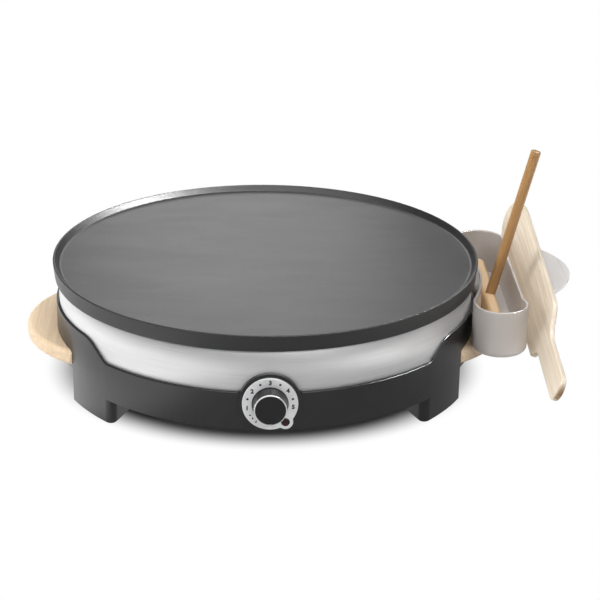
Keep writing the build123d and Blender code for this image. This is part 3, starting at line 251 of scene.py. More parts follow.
def turnedMetal(dark, light, roughness):
    return {
        "dark": dark,
        "light": light,
        "roughness": roughness,
        "patterns": {"cloud": (25.0, 3.0, 0.6), "grain": (300.0, 3.0, 0.7)},
        "tone": {"cloud": 0.6, "grain": 0.4},
        "range": (0.35, 0.65),
        "gloss": {"grain": 0.12},
        "relief": {"grain": 1.0},
        "bump": (0.15, 0.00005),
        "fixed": {"Metallic": 1.0},
    }


satinSilver = {
    "dark": (0.70, 0.70, 0.71),
    "light": (0.84, 0.84, 0.85),
    "roughness": 0.30,
    "patterns": {"fine": (2200.0, 2.0, 0.6), "cloud": (60.0, 2.0)},
    "tone": {"fine": 0.5, "cloud": 0.5},
    "range": (0.35, 0.65),
    "gloss": {"fine": 0.14},
    "relief": {"fine": 1.0},
    "bump": (0.1, 0.00003),
    "fixed": {"Metallic": 0.35, "Specular IOR Level": 0.5},
}
feltedWool = {
    "dark": (0.58, 0.52, 0.38),
    "light": (0.84, 0.80, 0.68),
    "roughness": 0.85,
    "patterns": {"tuft": (160.0, 5.0, 0.75, 1.2), "cloud": (18.0, 3.0)},
    "tone": {"tuft": 0.6, "cloud": 0.4},
    "range": (0.35, 0.65),
    "gloss": {"cloud": 0.1},
    "relief": {"tuft": 1.0},
    "bump": (0.8, 0.002),
    "fixed": {"Specular IOR Level": 0.1, "Sheen Weight": 0.3},
}
darkRedLens = {
    "dark": (0.012, 0.002, 0.003),
    "light": (0.045, 0.006, 0.008),
    "roughness": 0.12,
    "patterns": {"facet": (500.0, 1.0)},
    "tone": {"facet": 1.0},
    "range": (0.35, 0.65),
    "gloss": {"facet": 0.1},
    "relief": {"facet": 1.0},
    "bump": (0.15, 0.0001),
    "fixed": {"Specular IOR Level": 0.3, "Coat Weight": 0.2, "Coat Roughness": 0.05},
}


def griddleCoating():
    look = {
        "dark": (0.013, 0.013, 0.0133),
        "light": (0.024, 0.024, 0.0243),
        "roughness": 0.34,
        "cloud": (9.0, 4.0, 0.6),
        "hazeRange": (0.3, 0.7),
        "grain": (900.0, 3.0, 0.7),
        "fleck": (420.0, 1.0),
        "fleckRange": (0.70, 0.78),
        "fleckColour": (0.07, 0.07, 0.07),
        "fleckShare": 0.5,
        "streak": ((9.0, 38.0), 5.0, 0.65, 0.6),
        "wipeRange": (0.35, 0.65),
        "sideRange": (0.1978, 0.1986),  # from the plate's axis, where its top turns into its side
        "sideColour": (0.020, 0.020, 0.0202),
        "sideShare": 0.6,
        "sideGrain": 0.8,
        "tone": {"cloud": 0.7, "grain": 0.3},
        "range": (0.36, 0.64),
        "gloss": {"haze": 0.03, "grain": 0.06, "wipe": 0.04, "side": 0.05},
        "relief": {"grain": 0.8, "fleck": 0.4, "streak": 1.2},
        "bump": (0.35, 0.00025),
    }
    material, tree, shader = newMaterial("griddleCoating", {"Specular IOR Level": 0.40})
    point = objectPoint(tree)
    x, y, _ = pieceAxes(tree)
    cloud, grain, fleck = (noise(tree, point, *look[key]) for key in ("cloud", "grain", "fleck"))
    streak = drawnOut(tree, (x, y), *look["streak"])
    fleck = spread(fleck, *look["fleckRange"])
    side = spread((x * x + y * y) ** 0.5, *look["sideRange"])
    patterns = {
        "cloud": cloud,
        "haze": spread(cloud, *look["hazeRange"]),
        "grain": grain,
        "fleck": fleck,
        "streak": streak,
        "wipe": spread(streak, *look["wipeRange"]),
        "side": side,
    }
    colour, rough, bump = shades(tree, look, patterns)
    colour = mixColour(tree, fleck * look["fleckShare"], colour, look["fleckColour"])
    cover = side * (look["sideShare"] + grain * look["sideGrain"])
    colour = mixColour(tree, cover, colour, look["sideColour"])
    feed(tree, shader, colour=colour, roughness=rough, normal=bump)
    return material


def brushedSteel():
    look = {
        "dark": (0.52, 0.52, 0.525),
        "light": (0.66, 0.66, 0.665),
        "roughness": 0.36,
        "line": ((3.0, 2600.0), 3.0, 0.65),
        "soft": ((1.4, 60.0), 2.0),
        "tone": {"line": 0.75, "soft": 0.25},
        "range": (0.32, 0.68),
        "gloss": {"line": 0.12},
        "relief": {"line": 1.0},
        "bump": (0.12, 0.00005),
        "fixed": {"Metallic": 0.6, "Anisotropic": 0.3, "Specular IOR Level": 0.5},
    }
    material, tree, shader = newMaterial("brushedSteel", look["fixed"])
    x, y, z = pieceAxes(tree)
    turn = x.maths("ARCTAN2", x, 0 - y)  # zero at the dial, so that the seam lies at the rear
    patterns = {key: drawnOut(tree, (turn, z), *look[key]) for key in ("line", "soft")}
    colour, rough, bump = shades(tree, look, patterns)
    feed(tree, shader, colour=colour, roughness=rough, normal=bump)
    return material


def knobPlastic():
    # glossy plastic with a painted highlight on its front edge: a light, partly metallic ring that
    # stands in for the glint of the rounded edge
    look = {
        **plastic((0.005, 0.005, 0.0055), (0.008, 0.008, 0.0085), 0.18, 0.4),
        # colour and metal of the painted highlight on the front edge
        "highlightColour": (0.62, 0.62, 0.63),
        "highlightMetal": 0.22,
        "edgeGloss": 0.05,
        "frontRadius": 0.0142,
        "edgeRound": 0.001,
        "innerFade": (1.0, 0.6),  # inwards from the edge, from no painted highlight to full, in edge rounds
        "depthFade": (1.5, 1.0),  # the same, to the rear of the front
    }
    material, tree, shader = newMaterial("knob", look["fixed"])
    colour, rough, bump = shades(tree, look, evenPatterns(tree, look))
    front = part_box("thermostat_knob")[0].y
    x, y, z = pieceAxes(tree)
    reach = (x * x + (z - dialHeight) ** 2.0) ** 0.5
    rim = spread(reach, *(look["frontRadius"] - look["edgeRound"] * fade for fade in look["innerFade"]))
    ahead = spread(0 - y, *(-front - look["edgeRound"] * fade for fade in look["depthFade"]))
    # the painted highlight: where the front edge rounds, the colour turns light grey and partly metallic
    # in place of a glint
    paintedHighlight = rim * ahead
    colour = mixColour(tree, paintedHighlight, colour, look["highlightColour"])
    rough = rough - paintedHighlight * look["edgeGloss"]
    feed(tree, shader, colour=colour, roughness=rough, metal=paintedHighlight * look["highlightMetal"], normal=bump)
    return material


woodGrain = {
    "bend": ((5.0, 14.0, 14.0), 2.0),
    "fibre": ((24.0, 1300.0, 1300.0), 2.0, 0.7),
    "pore": ((60.0, 700.0, 700.0), 1.0),
    "poreRange": (0.66, 0.76),
    "patch": ((4.0, 20.0, 20.0), 2.0),
    "ring": (3.0, 0.6, 0.3),
    "tone": {"ring": 0.6, "fibre": 0.25, "patch": 0.15},
    "range": (0.66, 0.36),  # dark where the tone is high
    "gloss": {"fibre": 0.15, "pore": 0.1},
    "relief": {"fibre": 0.7, "pore": -0.5, "ring": 0.3},
    "bump": (0.3, 0.00012),
    "fixed": {"Specular IOR Level": 0.3},
}
# rings and stretch are the scales of the rings across and along the fibres, waviness how far they bend
paleBeech = {
    **woodGrain,
    "light": (0.73, 0.585, 0.42),
    "dark": (0.58, 0.43, 0.28),
    "poreColour": (0.52, 0.36, 0.22),
    "poreShare": 0.35,
    "rings": 330.0,
    "stretch": 5.0,
    "waviness": 0.010,
    "roughness": 0.48,
}
paleAsh = {
    **woodGrain,
    "light": (0.82, 0.73, 0.60),
    "dark": (0.63, 0.51, 0.375),
    "poreColour": (0.52, 0.40, 0.27),
    "poreShare": 0.40,
    "rings": 420.0,
    "stretch": 3.0,
    "waviness": 0.007,
    "roughness": 0.50,
    "endColour": (0.24, 0.13, 0.06),
    "endFrom": -0.1895,  # along the grain, where the darker end starts
    "endFade": 0.005,
}
goldenStick = {
    **woodGrain,
    "light": (0.46, 0.265, 0.11),
    "dark": (0.33, 0.17, 0.06),
    "poreColour": (0.20, 0.10, 0.035),
    "poreShare": 0.5,
    "rings": 330.0,
    "stretch": 12.0,
    "waviness": 0.006,
    "roughness": 0.42,
}
yellowBar = {
    **woodGrain,
    "light": (0.74, 0.51, 0.28),
    "dark": (0.58, 0.37, 0.18),
    "poreColour": (0.45, 0.28, 0.13),
    "poreShare": 0.3,
    "rings": 220.0,
    "stretch": 6.0,
    "waviness": 0.008,
    "roughness": 0.45,
}


def wood(name, look, grain, across):
    # grain and across are directions on the piece: the fibres, and the width of the board
    material, tree, shader = newMaterial(name, look["fixed"])
    depth = Vector(grain).cross(Vector(across))
    g, a, d = (along(tree, tuple(axis)) for axis in (grain, across, depth))
    patterns = {key: drawnOut(tree, (g, a, d), *look[key]) for key in ("bend", "fibre", "pore", "patch")}
    patterns["pore"] = spread(patterns["pore"], *look["poreRange"])
    bend = patterns["bend"] * look["waviness"]
    ringScales = (look["stretch"], look["rings"], look["rings"])
    patterns["ring"] = drawnOut(tree, (g, a + bend, d + bend), ringScales, *look["ring"])
    colour, rough, bump = shades(tree, look, patterns)
    colour = mixColour(tree, patterns["pore"] * look["poreShare"], colour, look["poreColour"])
    if "endFrom" in look:
        start, fade = look["endFrom"], look["endFade"]
        worn = spread(g + (patterns["patch"] - 0.5) * fade, start, start - fade)
        colour = mixColour(tree, worn, colour, look["endColour"])
    feed(tree, shader, colour=colour, roughness=rough, normal=bump)
    return material


# how the spreader and the spatula stand in the holder, which their fibres follow
stickLean = radians(14.2)
stickAxis = (sin(stickLean), 0, cos(stickLean))
barAcross = (cos(stickLean), 0, -sin(stickLean))
spatulaRise, spatulaLean = radians(6.0), radians(22.0)
spatulaAlong = Vector((0, cos(spatulaRise), sin(spatulaRise)))
spatulaFace = spatulaAlong.cross(Vector((sin(spatulaLean), 0, cos(spatulaLean)))).normalized()
spatulaUp = spatulaFace.cross(spatulaAlong)

evenLooks = {
    "housing": plastic((0.008, 0.008, 0.0085), (0.012, 0.012, 0.0125), 0.18, 0.5),
    "switch": plastic((0.06, 0.06, 0.065), (0.09, 0.09, 0.095), 0.33, 0.4),
    "rubber": plastic(
        (0.020, 0.020, 0.021), (0.035, 0.035, 0.036), 0.63, 0.2, grainScale=700.0, grainDepth=0.0001
    ),
    "holder": plastic((0.51, 0.47, 0.44), (0.545, 0.505, 0.475), 0.18, 0.5, coat=0.25),
    "tab": plastic((0.68, 0.66, 0.645), (0.73, 0.71, 0.695), 0.28, 0.45),
    "glassSleeve": plastic(
        (0.66, 0.64, 0.58), (0.78, 0.76, 0.70), 0.58, 0.3, grainScale=1800.0, grainDepth=0.0001
    ),
    "earthSleeve": plastic(
        (0.34, 0.42, 0.06), (0.52, 0.50, 0.08), 0.48, 0.3, grainScale=900.0, grainDepth=0.00005
    ),
    "ceramic": plastic(
        (0.74, 0.71, 0.65), (0.84, 0.82, 0.77), 0.48, 0.3, grainScale=500.0, grainDepth=0.0001
    ),
    "ink": plastic((0.010, 0.010, 0.011), (0.016, 0.016, 0.017), 0.38, 0.3),
    "silver": satinSilver,
    "lens": darkRedLens,
    "wool": feltedWool,
    "zinc": turnedMetal((0.50, 0.51, 0.53), (0.68, 0.69, 0.70), 0.30),
    "brass": turnedMetal((0.62, 0.46, 0.20), (0.78, 0.62, 0.32), 0.28),
    "copper": turnedMetal((0.58, 0.30, 0.18), (0.76, 0.44, 0.30), 0.28),
    "aluminium": turnedMetal((0.72, 0.73, 0.74), (0.86, 0.87, 0.88), 0.22),
    "sheath": turnedMetal((0.16, 0.15, 0.14), (0.30, 0.28, 0.26), 0.42),
}
finishes = {
    **{name: evenFinish(name, look) for name, look in evenLooks.items()},
    "griddleCoating": griddleCoating(),
    "brushedSteel": brushedSteel(),
    "knob": knobPlastic(),
    "handleWood": wood("handleWood", paleBeech, (0, 1, 0), (1, 0, 0)),
    "barWood": wood("barWood", yellowBar, (0, 1, 0), barAcross),
    "stickWood": wood("stickWood", goldenStick, stickAxis, (0, 1, 0)),
    "spatulaWood": wood("spatulaWood", paleAsh, tuple(spatulaAlong), tuple(spatulaUp)),
}
print("materials made:", len(finishes))

# finish of every node that keeps its own mesh
nodeFinish = {
    "heating_element": "sheath",
    "element_pins": "brass",
    "terminal_beads": "ceramic",
    "element_clamps": "zinc",
    "plate_screws": "zinc",
    "capillary_sensor": "copper",
    "sensor_clip": "zinc",
    "thermal_cutout": "ceramic",
    "heat_reflector": "aluminium",
    "insulation_blanket": "wool",
    "plate_posts": "zinc",
    "plate_bolts": "zinc",
    "drum_floor": "zinc",
    "thermostat_body": "switch",
    "thermostat_nut": "brass",
    "thermostat_spindle": "zinc",
    "pilot_lamp": "switch",
    "gland_nut": "switch",
    "terminal_block": "switch",
    "terminal_screws": "brass",
    "live_lead": "glassSleeve",
    "element_lead": "glassSleeve",
    "cutout_lead": "glassSleeve",
    "neutral_lead": "glassSleeve",
    "lamp_leads": "glassSleeve",
    "earth_lead": "earthSleeve",
    "earth_tag": "brass",
}


def setFinish(piece, finish):
    piece.data.materials.clear()
    piece.data.materials.append(finishes[finish])


for node, finish in nodeFinish.items():
    setFinish(nodes[node], finish)


# pieces that keep their node's form, with clean smooth faces

def bodyOf(node):
    return nodes[node]["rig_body"]


def plainMesh(piece, name):
    # the mesh that the modifiers make
    graph = bpy.context.evaluated_depsgraph_get()
    mesh = bpy.data.meshes.new_from_object(piece.evaluated_get(graph))
    mesh.name = name
    return mesh


def smoothEdges(form, sharp):
    for side in form.edges:
        if len(side.link_faces) == 2:
            side.smooth = side.calc_face_angle(0.0) < radians(sharp)


plateRim = {
    "height": 0.0050,  # above the cooking surface
    "width": 0.0055,
    "round": 0.0023,
    "cove": 0.0025,
    "slope": 48.0,  # of the inner side, in degrees
    "crownInset": 0.0015,  # from the plate's edge to the start of the slope
    "crownRound": 0.0008,
    "slopeCove": 0.0030,
    "cornerShare": 0.5,  # of the round that is left on the outer corner
    "surfaceSlack": 0.00002,  # what a point may be off when it is told which part of the rim it is on
    "coveSlack": 0.0002,
    "crownSlack": 0.0004,
    "middleSlack": 0.00005,
}


def slopeRim(form):
    # lets the rim's inner side run down to the surface at a slope, and sharpens its outer corner
    look = plateRim
    slope = radians(look["slope"])
    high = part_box("cooking_plate")[1]
    edge, top = high.x, high.z
    surface, wall = top - look["height"], edge - look["width"]
    crown, cove = look["crownRound"], look["slopeCove"]
    crownMiddle = edge - look["crownInset"]
    fall = look["height"] - (crown + cove) * (1 - cos(slope))
    coveMiddle = crownMiddle - (crown + cove) * sin(slope) - fall / tan(slope)
    for vertex in form.verts:
        x, y, z = vertex.co
        reach = sqrt(x * x + y * y)
        if z < surface + look["surfaceSlack"] or reach < wall - look["cove"] - look["coveSlack"]:
            continue
        if reach > wall + look["round"] + look["crownSlack"]:
            newReach = edge + (reach - edge) * look["cornerShare"]
            newZ = top + (z - top) * look["cornerShare"]
        elif z > surface + look["height"] / 2 + look["middleSlack"]:
            turn = atan2(wall + look["round"] - reach, z - top + look["round"]) * slope / (pi / 2)
            newReach = crownMiddle - crown * sin(turn)
            newZ = top - crown * (1 - cos(turn))
        else:
            turn = atan2(reach - wall + look["cove"], surface + look["cove"] - z) * slope / (pi / 2)
            newReach = coveMiddle + cove * sin(turn)
            newZ = surface + cove * (1 - cos(turn))
        vertex.co = (x * newReach / reach, y * newReach / reach, newZ)


dressed = (
    ("cooking_plate", "griddlePlate", "griddleCoating", "plate_coating"),
    ("base_housing", "baseShell", "housing", "housing_plastic"),
    ("left_handle", "leftHandle", "handleWood", "handle_wood"),
    ("right_handle", "rightHandle", "handleWood", "handle_wood"),
    ("dial_ring", "dialPlate", "silver", "ring_silver"),
    ("thermostat_knob", "heatKnob", "knob", "knob_plastic"),
    ("pilot_lens", "pilotWindow", "lens", "lens_red"),
    ("cord_gland", "cordGland", "rubber", "gland_rubber"),
    ("accessory_holder", "toolCup", "holder", "holder_plastic"),
    ("holder_tab", "cupTab", "tab", "tab_plastic"),
    ("spreader_bar", "spreaderBar", "barWood", "spreader_wood"),
    ("spreader_stick", "spreaderStick", "stickWood", "stick_wood"),
    ("crepe_spatula", "crepeSpatula", "spatulaWood", "spatula_wood"),
)
dressedSharp = 32.0  # edges that turn more than this stay sharp, in degrees
reshapes = {"cooking_plate": slopeRim}


def smoothCopy(node, name, finish):
    mesh = nodes[node].data.copy()
    piece = bpy.data.objects.new(name, mesh)
    scene.collection.objects.link(piece)
    form = bmesh.new()
    form.from_mesh(mesh)
    bmesh.ops.remove_doubles(form, verts=form.verts, dist=mergeDistance)
    bmesh.ops.dissolve_degenerate(form, dist=mergeDistance, edges=form.edges)
    if node in reshapes:
        reshapes[node](form)
    for face in form.faces:
        face.smooth = True
    smoothEdges(form, dressedSharp)
    form.to_mesh(mesh)
    form.free()
    weights = piece.modifiers.new("normals", "WEIGHTED_NORMAL")
    weights.keep_sharp = True
    setFinish(piece, finish)
    shaded = plainMesh(piece, name)
    piece.modifiers.clear()
    piece.data = shaded
    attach(piece, bodyOf(node))
    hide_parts(node)


for node, name, finish, slot in dressed:
    smoothCopy(node, name, finish)
for node in nodes:
    if node.startswith("foot_pad_"):
        smoothCopy(node, node.replace("foot_pad_", "footPad_"), "rubber")
print("smooth pieces made")


# geometry node trees

def newTree(name, sizes):
    tree = bpy.data.node_groups.new(name, "GeometryNodeTree")
    tree.interface.new_socket("Geometry", in_out="INPUT", socket_type="NodeSocketGeometry")
    tree.interface.new_socket("Geometry", in_out="OUTPUT", socket_type="NodeSocketGeometry")
    for key, value in sizes.items():
        kind = "NodeSocketInt" if isinstance(value, int) else "NodeSocketFloat"
        tree.interface.new_socket(key, in_out="INPUT", socket_type=kind)
    given = tree.nodes.new("NodeGroupInput")
    return tree, {key: Wire(tree, given.outputs[key]) for key in ("Geometry", *sizes)}


def closeTree(tree, geometry, finish):
    real = addNode(tree, "GeometryNodeRealizeInstances", None, {"Geometry": geometry})
    inputs = {"Geometry": real, "Material": finishes[finish]}
    painted = addNode(tree, "GeometryNodeSetMaterial", None, inputs)
    result = tree.nodes.new("NodeGroupOutput")
    tree.links.new(painted.socket, result.inputs[0])


def grow(name, tree, sizes, body, base=None):
    # runs a tree on a base mesh or curve and keeps the result as a plain mesh
    grower = bpy.data.objects.new(name, base or bpy.data.meshes.new(name))
    scene.collection.objects.link(grower)
    modifier = grower.modifiers.new("tree", "NODES")
    modifier.node_group = tree
    keys = {item.name: item.identifier for item in tree.interface.items_tree if item.in_out == "INPUT"}
    for key, value in sizes.items():
        modifier[keys[key]] = value
    mesh = plainMesh(grower, name)
    bpy.data.objects.remove(grower)
    piece = bpy.data.objects.new(name, mesh)
    scene.collection.objects.link(piece)
    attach(piece, body)
    return piece


steelBand = {
    "steps": 360,
    "sheet": 0.0008,
    "flange": 0.0150,
    "lip": 0.00025,
    "sharp": 50.0,
}


def bandSection():
    # a wall with a rolled top, and a flange turned in at its foot
    low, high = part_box("steel_band")
    middle = low.z + (high.z - low.z) / 2
    sheet, flange, lip = steelBand["sheet"], steelBand["flange"], steelBand["lip"]
    section = (
        (-flange, low.z), (-lip, low.z), (0, low.z + lip),
        (0, middle), (0, high.z - lip), (-lip, high.z),
        (lip - sheet, high.z), (-sheet, high.z - lip), (-sheet, middle),
        (-sheet, low.z + sheet + lip), (-sheet - lip, low.z + sheet), (-flange, low.z + sheet),
    )
    curve = bpy.data.curves.new("bandSection", "CURVE")
    curve.dimensions = "3D"
    line = curve.splines.new("POLY")
    line.points.add(len(section) - 1)
    for place, (out, up) in zip(line.points, section):
        place.co = (out, -up, 0, 1)  # the sweep turns the section over
    line.use_cyclic_u = True
    return curve


def bandRing():
    sizes = {"Radius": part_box("steel_band")[1].x, "Steps": steelBand["steps"]}
    tree, given = newTree("bandTree", sizes)
    inputs = {"Resolution": given["Steps"], "Radius": given["Radius"]}
    ring = addNode(tree, "GeometryNodeCurvePrimitiveCircle", None, inputs)
    inputs = {"Curve": ring, "Profile Curve": given["Geometry"]}
    swept = addNode(tree, "GeometryNodeCurveToMesh", None, inputs)
    smooth = addNode(tree, "GeometryNodeSetShadeSmooth", None, {0: swept})
    closeTree(tree, smooth, "brushedSteel")
    piece = grow("drumBand", tree, sizes, "base", bandSection())
    form = bmesh.new()
    form.from_mesh(piece.data)
    bmesh.ops.recalc_face_normals(form, faces=form.faces)
    smoothEdges(form, steelBand["sharp"])
    form.to_mesh(piece.data)
    form.free()
    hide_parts("steel_band")


bandRing()
print("band made")


# dial marks: plain numbers and dots, printed on the ring

dial = {
    "numbers": ((1, -100), (2, -51), (3, 0), (4, 51), (5, 99)),  # angles are clockwise from the top
    "numberSize": 0.0053,
    "numberWeight": 0.00030,
    "numberSteps": 4,
    "markRadius": 0.0202,
    "dotSides": 20,
    "dotRadius": 0.00105,
    "dotFirst": -76.0,
    "dotStep": 50.67,
    "dotCount": 4,
    "smallDotRadius": 0.00078,
    "smallDotFirst": -131.5,
    "smallDotStep": 10.5,
    "smallDotCount": 2,
    "wedgeAngle": -144.0,
    "wedgeLength": 0.0026,
    "wedgeWidth": 0.0015,
    "inkDepth": 0.00006,
    "inkMerge": 1e-7,
}
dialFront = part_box("dial_ring")[0].y


def onDial(angle):
    # middle of the mark at an angle
    turn = radians(angle)
    reach = dial["markRadius"]
    return Vector((reach * sin(turn), dialFront, dialHeight + reach * cos(turn)))


def joinMeshes(name, meshes, body, finish):
    form = bmesh.new()
    for mesh in meshes:
        form.from_mesh(mesh)
    bmesh.ops.remove_doubles(form, verts=form.verts, dist=dial["inkMerge"])
    bmesh.ops.recalc_face_normals(form, faces=form.faces)
    joined = bpy.data.meshes.new(name)
    form.to_mesh(joined)
    form.free()
    piece = bpy.data.objects.new(name, joined)
    scene.collection.objects.link(piece)
    setFinish(piece, finish)
    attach(piece, body)


def dialNumbers():
    meshes = []
    upright = Matrix.Rotation(radians(90), 4, "X")
    for number, angle in dial["numbers"]:
        words = bpy.data.curves.new(f"number{number}", "FONT")
        words.body = str(number)
        words.size = dial["numberSize"]
        words.align_x = "CENTER"
        words.align_y = "CENTER"
        words.extrude = dial["inkDepth"] / 2
        words.offset = dial["numberWeight"]
        words.resolution_u = dial["numberSteps"]
        writer = bpy.data.objects.new(words.name, words)
        scene.collection.objects.link(writer)
        mesh = plainMesh(writer, words.name)
        bpy.data.objects.remove(writer)
        middle = sum((v.co for v in mesh.vertices), Vector()) / len(mesh.vertices)
        mesh.transform(Matrix.Translation(onDial(angle)) @ upright @ Matrix.Translation(-middle))
        meshes.append(mesh)
    joinMeshes("dialNumbers", meshes, "base", "ink")


def dotTree():
    lengths = ("Ring", "Dot", "First", "Step", "Depth", "Front", "Height")
    tree, given = newTree("dotTree", {**dict.fromkeys(lengths, 0.0), "Count": 1})
    points = addNode(tree, "GeometryNodeMeshLine", None, {"Count": given["Count"]})
    index = addNode(tree, "GeometryNodeInputIndex")
    turn = (given["First"] + given["Step"] * index) * (pi / 180)
    x = given["Ring"] * turn.maths("SINE", turn)
    z = given["Height"] + given["Ring"] * turn.maths("COSINE", turn)
    spot = combined(tree, x, given["Front"], z)
    placed = addNode(tree, "GeometryNodeSetPosition", None, {"Geometry": points, "Position": spot})
    inputs = {"Vertices": dial["dotSides"], "Radius": given["Dot"], "Depth": given["Depth"]}
    disc = addNode(tree, "GeometryNodeMeshCylinder", None, inputs)
    facing = {"Instance": disc, "Points": placed, "Rotation": (pi / 2, 0, 0)}
    closeTree(tree, addNode(tree, "GeometryNodeInstanceOnPoints", None, facing), "ink")
    return tree


def dialDots():
    tree = dotTree()
    for name, start in (("dialDots", "dot"), ("dialSmallDots", "smallDot")):
        sizes = {
            "Ring": dial["markRadius"],
            "Depth": dial["inkDepth"],
            "Front": dialFront,
            "Height": dialHeight,
            "Dot": dial[start + "Radius"],
            "First": dial[start + "First"],
            "Step": dial[start + "Step"],
            "Count": dial[start + "Count"],
        }
        grow(name, tree, sizes, "base")


def offMark():
    # a small wedge that points at the off position
    turn = radians(dial["wedgeAngle"])
    out = Vector((sin(turn), 0, cos(turn))) * dial["wedgeLength"] / 2
    aside = Vector((cos(turn), 0, -sin(turn))) * dial["wedgeWidth"] / 2
    centre = onDial(dial["wedgeAngle"])
    front = Vector((0, -dial["inkDepth"] / 2, 0))
    corners = (centre + out - aside, centre + out + aside, centre - out)
    points = [c + front for c in corners] + [c - front for c in corners]
    faces = ((0, 1, 2), (5, 4, 3), (0, 3, 4, 1), (1, 4, 5, 2), (2, 5, 3, 0))
    mesh = bpy.data.meshes.new("wedge")
    mesh.from_pydata(points, [], faces)
    joinMeshes("dialOffMark", [mesh], "base", "ink")


dialNumbers()
dialDots()
offMark()
print("dial marks made")


# screws with a cross recess, grown on the places of the screws they stand for

crossScrew = {
    "head": 0.0040,
    "headSides": 24,
    "shank": 0.0020,
    "shankSides": 16,
    "cap": 0.0022,
    "slot": 0.0019,  # from the middle to its end
    "slotWidth": 0.42,  # as a share of slot
    "seed": 7,
}


def solidBoxes(node):
    # lowest and highest point of each separate solid of a node
    form = bmesh.new()
    form.from_mesh(nodes[node].data)
    bmesh.ops.remove_doubles(form, verts=form.verts, dist=mergeDistance)
    left, boxes = set(form.verts), []
    for first in form.verts:
        if first not in left:
            continue
        left.remove(first)
        queue, solid = [first], []
        while queue:
            vertex = queue.pop()
            solid.append(vertex.co.copy())
            for side in vertex.link_edges:
                other = side.other_vert(vertex)
                if other in left:
                    left.remove(other)
                    queue.append(other)
        low = Vector([min(c[i] for c in solid) for i in range(3)])
        high = Vector([max(c[i] for c in solid) for i in range(3)])
        boxes.append((low, high))
    form.free()
    return boxes


def screwTree():
    tree, given = newTree("screwTree", dict.fromkeys(("Head", "Shank", "Cap", "Length", "Slot"), 0.0))

    def rod(radius, length, bottom, sides):
        inputs = {"Vertices": sides, "Radius": radius, "Depth": length}
        body = addNode(tree, "GeometryNodeMeshCylinder", None, inputs)
        lift = combined(tree, 0.0, 0.0, bottom + length / 2)
        return addNode(tree, "GeometryNodeTransform", None, {"Geometry": body, "Translation": lift})

    def blade(width, length):
        inputs = {"Size": combined(tree, width, length, given["Cap"])}
        return addNode(tree, "GeometryNodeMeshCube", None, inputs)

    head = rod(given["Head"], given["Cap"], 0.0, crossScrew["headSides"])
    shank = rod(given["Shank"], given["Length"] - given["Cap"], given["Cap"], crossScrew["shankSides"])
    wide, thin = given["Slot"] * 2, given["Slot"] * crossScrew["slotWidth"]
    cut = addNode(tree, "GeometryNodeMeshBoolean", {"operation": "DIFFERENCE"}, {"Mesh 1": head})
    for cutter in (blade(wide, thin), blade(thin, wide)):
        tree.links.new(cutter.socket, cut.socket.node.inputs["Mesh 2"])
    joined = tree.nodes.new("GeometryNodeJoinGeometry")
    for part in (cut, shank):
        tree.links.new(part.socket, joined.inputs[0])
    inputs = {0: (0, 0, 0), 1: (0, 0, pi), "Seed": crossScrew["seed"]}
    turn = addNode(tree, "FunctionNodeRandomValue", {"data_type": "FLOAT_VECTOR"}, inputs)
    inputs = {"Points": given["Geometry"], "Instance": Wire(tree, joined.outputs[0]), "Rotation": turn}
    closeTree(tree, addNode(tree, "GeometryNodeInstanceOnPoints", None, inputs), "zinc")
    return tree


def crossScrews():
    tree = screwTree()
    for node, name in (("floor_screws", "floorScrews"), ("handle_screws", "handleScrews")):
        boxes = solidBoxes(node)
        places = [((low.x + high.x) / 2, (low.y + high.y) / 2, low.z) for low, high in boxes]
        spots = bpy.data.meshes.new(name)
        spots.from_pydata(places, [], [])
        low, high = boxes[0]
        sizes = {
            "Head": crossScrew["head"],
            "Shank": crossScrew["shank"],
            "Cap": crossScrew["cap"],
            "Length": high.z - low.z,
            "Slot": crossScrew["slot"],
        }
        piece = grow(name, tree, sizes, "base", spots)
        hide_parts(node)


crossScrews()
print("screws made")


# floor, backdrop, lights and camera

studio = {
    "floorSize": 12.0,
    "floorFixed": {"Base Color": (0.86, 0.86, 0.86), "Roughness": 0.9, "Specular IOR Level": 0.1},
    "shadeRange": (0.153, 0.193),  # painted shade, from full to none, by distance from the middle of the object
    "shadeNarrow": 0.906,  # the painted shade is wider from side to side
    # colour of the floor inside the painted shade, lit by the lamps
    "floorShade": 0.16,
    "mirrorHalf": 0.6,
    "mirrorPeak": 4.0,
    "mirrorSteps": (
        (0.0, 0.58), (0.11, 0.58), (0.17, 0.36), (0.27, 0.28), (0.30, 0.44),
        (0.35, 0.44), (0.39, 0.16), (0.70, 0.10), (0.78, 0.10), (0.85, 0.74), (1.0, 0.74),
    ),
    "room": 0.42,
    "front": 0.12,
    "above": 2.5,
    "aboveRange": (0.7, 0.95),
    "left": 0.8,
    "leftRange": (0.25, 0.85),
    "rightFlag": 0.4,
    "rightRange": (0.2, 0.8),
    "backdrop": 0.75,
    "backdropRange": (0.1, 0.6),
}
lamps = {
    "overhead": {
        "place": (-0.2, -0.1, 1.9),
        "target": (0, 0, 0.1),
        "size": (1.8, 1.6),
        "power": 28.0,
    },
    "leftKey": {
        "place": (-1.8, -0.3, 0.9),
        "target": (0, 0, 0.08),
        "size": (1.2, 1.4),
        "power": 34.0,
        "gloss": False,
    },
    "backSoft": {
        "place": (-0.04, 1.5, 0.78),
        "target": (0, 0, 0.1),
        "size": (0.6, 0.6),
        "power": 4.0,
    },
    "frontFill": {
        "place": (0.9, -2.0, 1.6),
        "target": (0.1, 0, 0.05),
        "size": (1.6, 1.2),
        "power": 28.0,
    },
    "rimGlint": {
        "place": (0.82, 0.30, 1.26),
        "target": (-0.105, 0.17, 0.1),
        "size": (0.45, 0.35),
        "power": 85.0,
        "diffuse": False,
    },
    "edgeStrip": {
        "place": (-0.2, -1.6, 1.35),
        "target": (0, -0.2, 0.06),
        "size": (2.0, 0.2),
        "power": 18.0,
        "diffuse": False,
    },
}
eye = {
    "place": (-0.0404, -1.7634, 0.7822),
    "pitch": 22.108489,
    "yaw": 2.378498,
    "roll": 0.772743,
    "lens": 120.0,
    "sensor": 36.0,
}


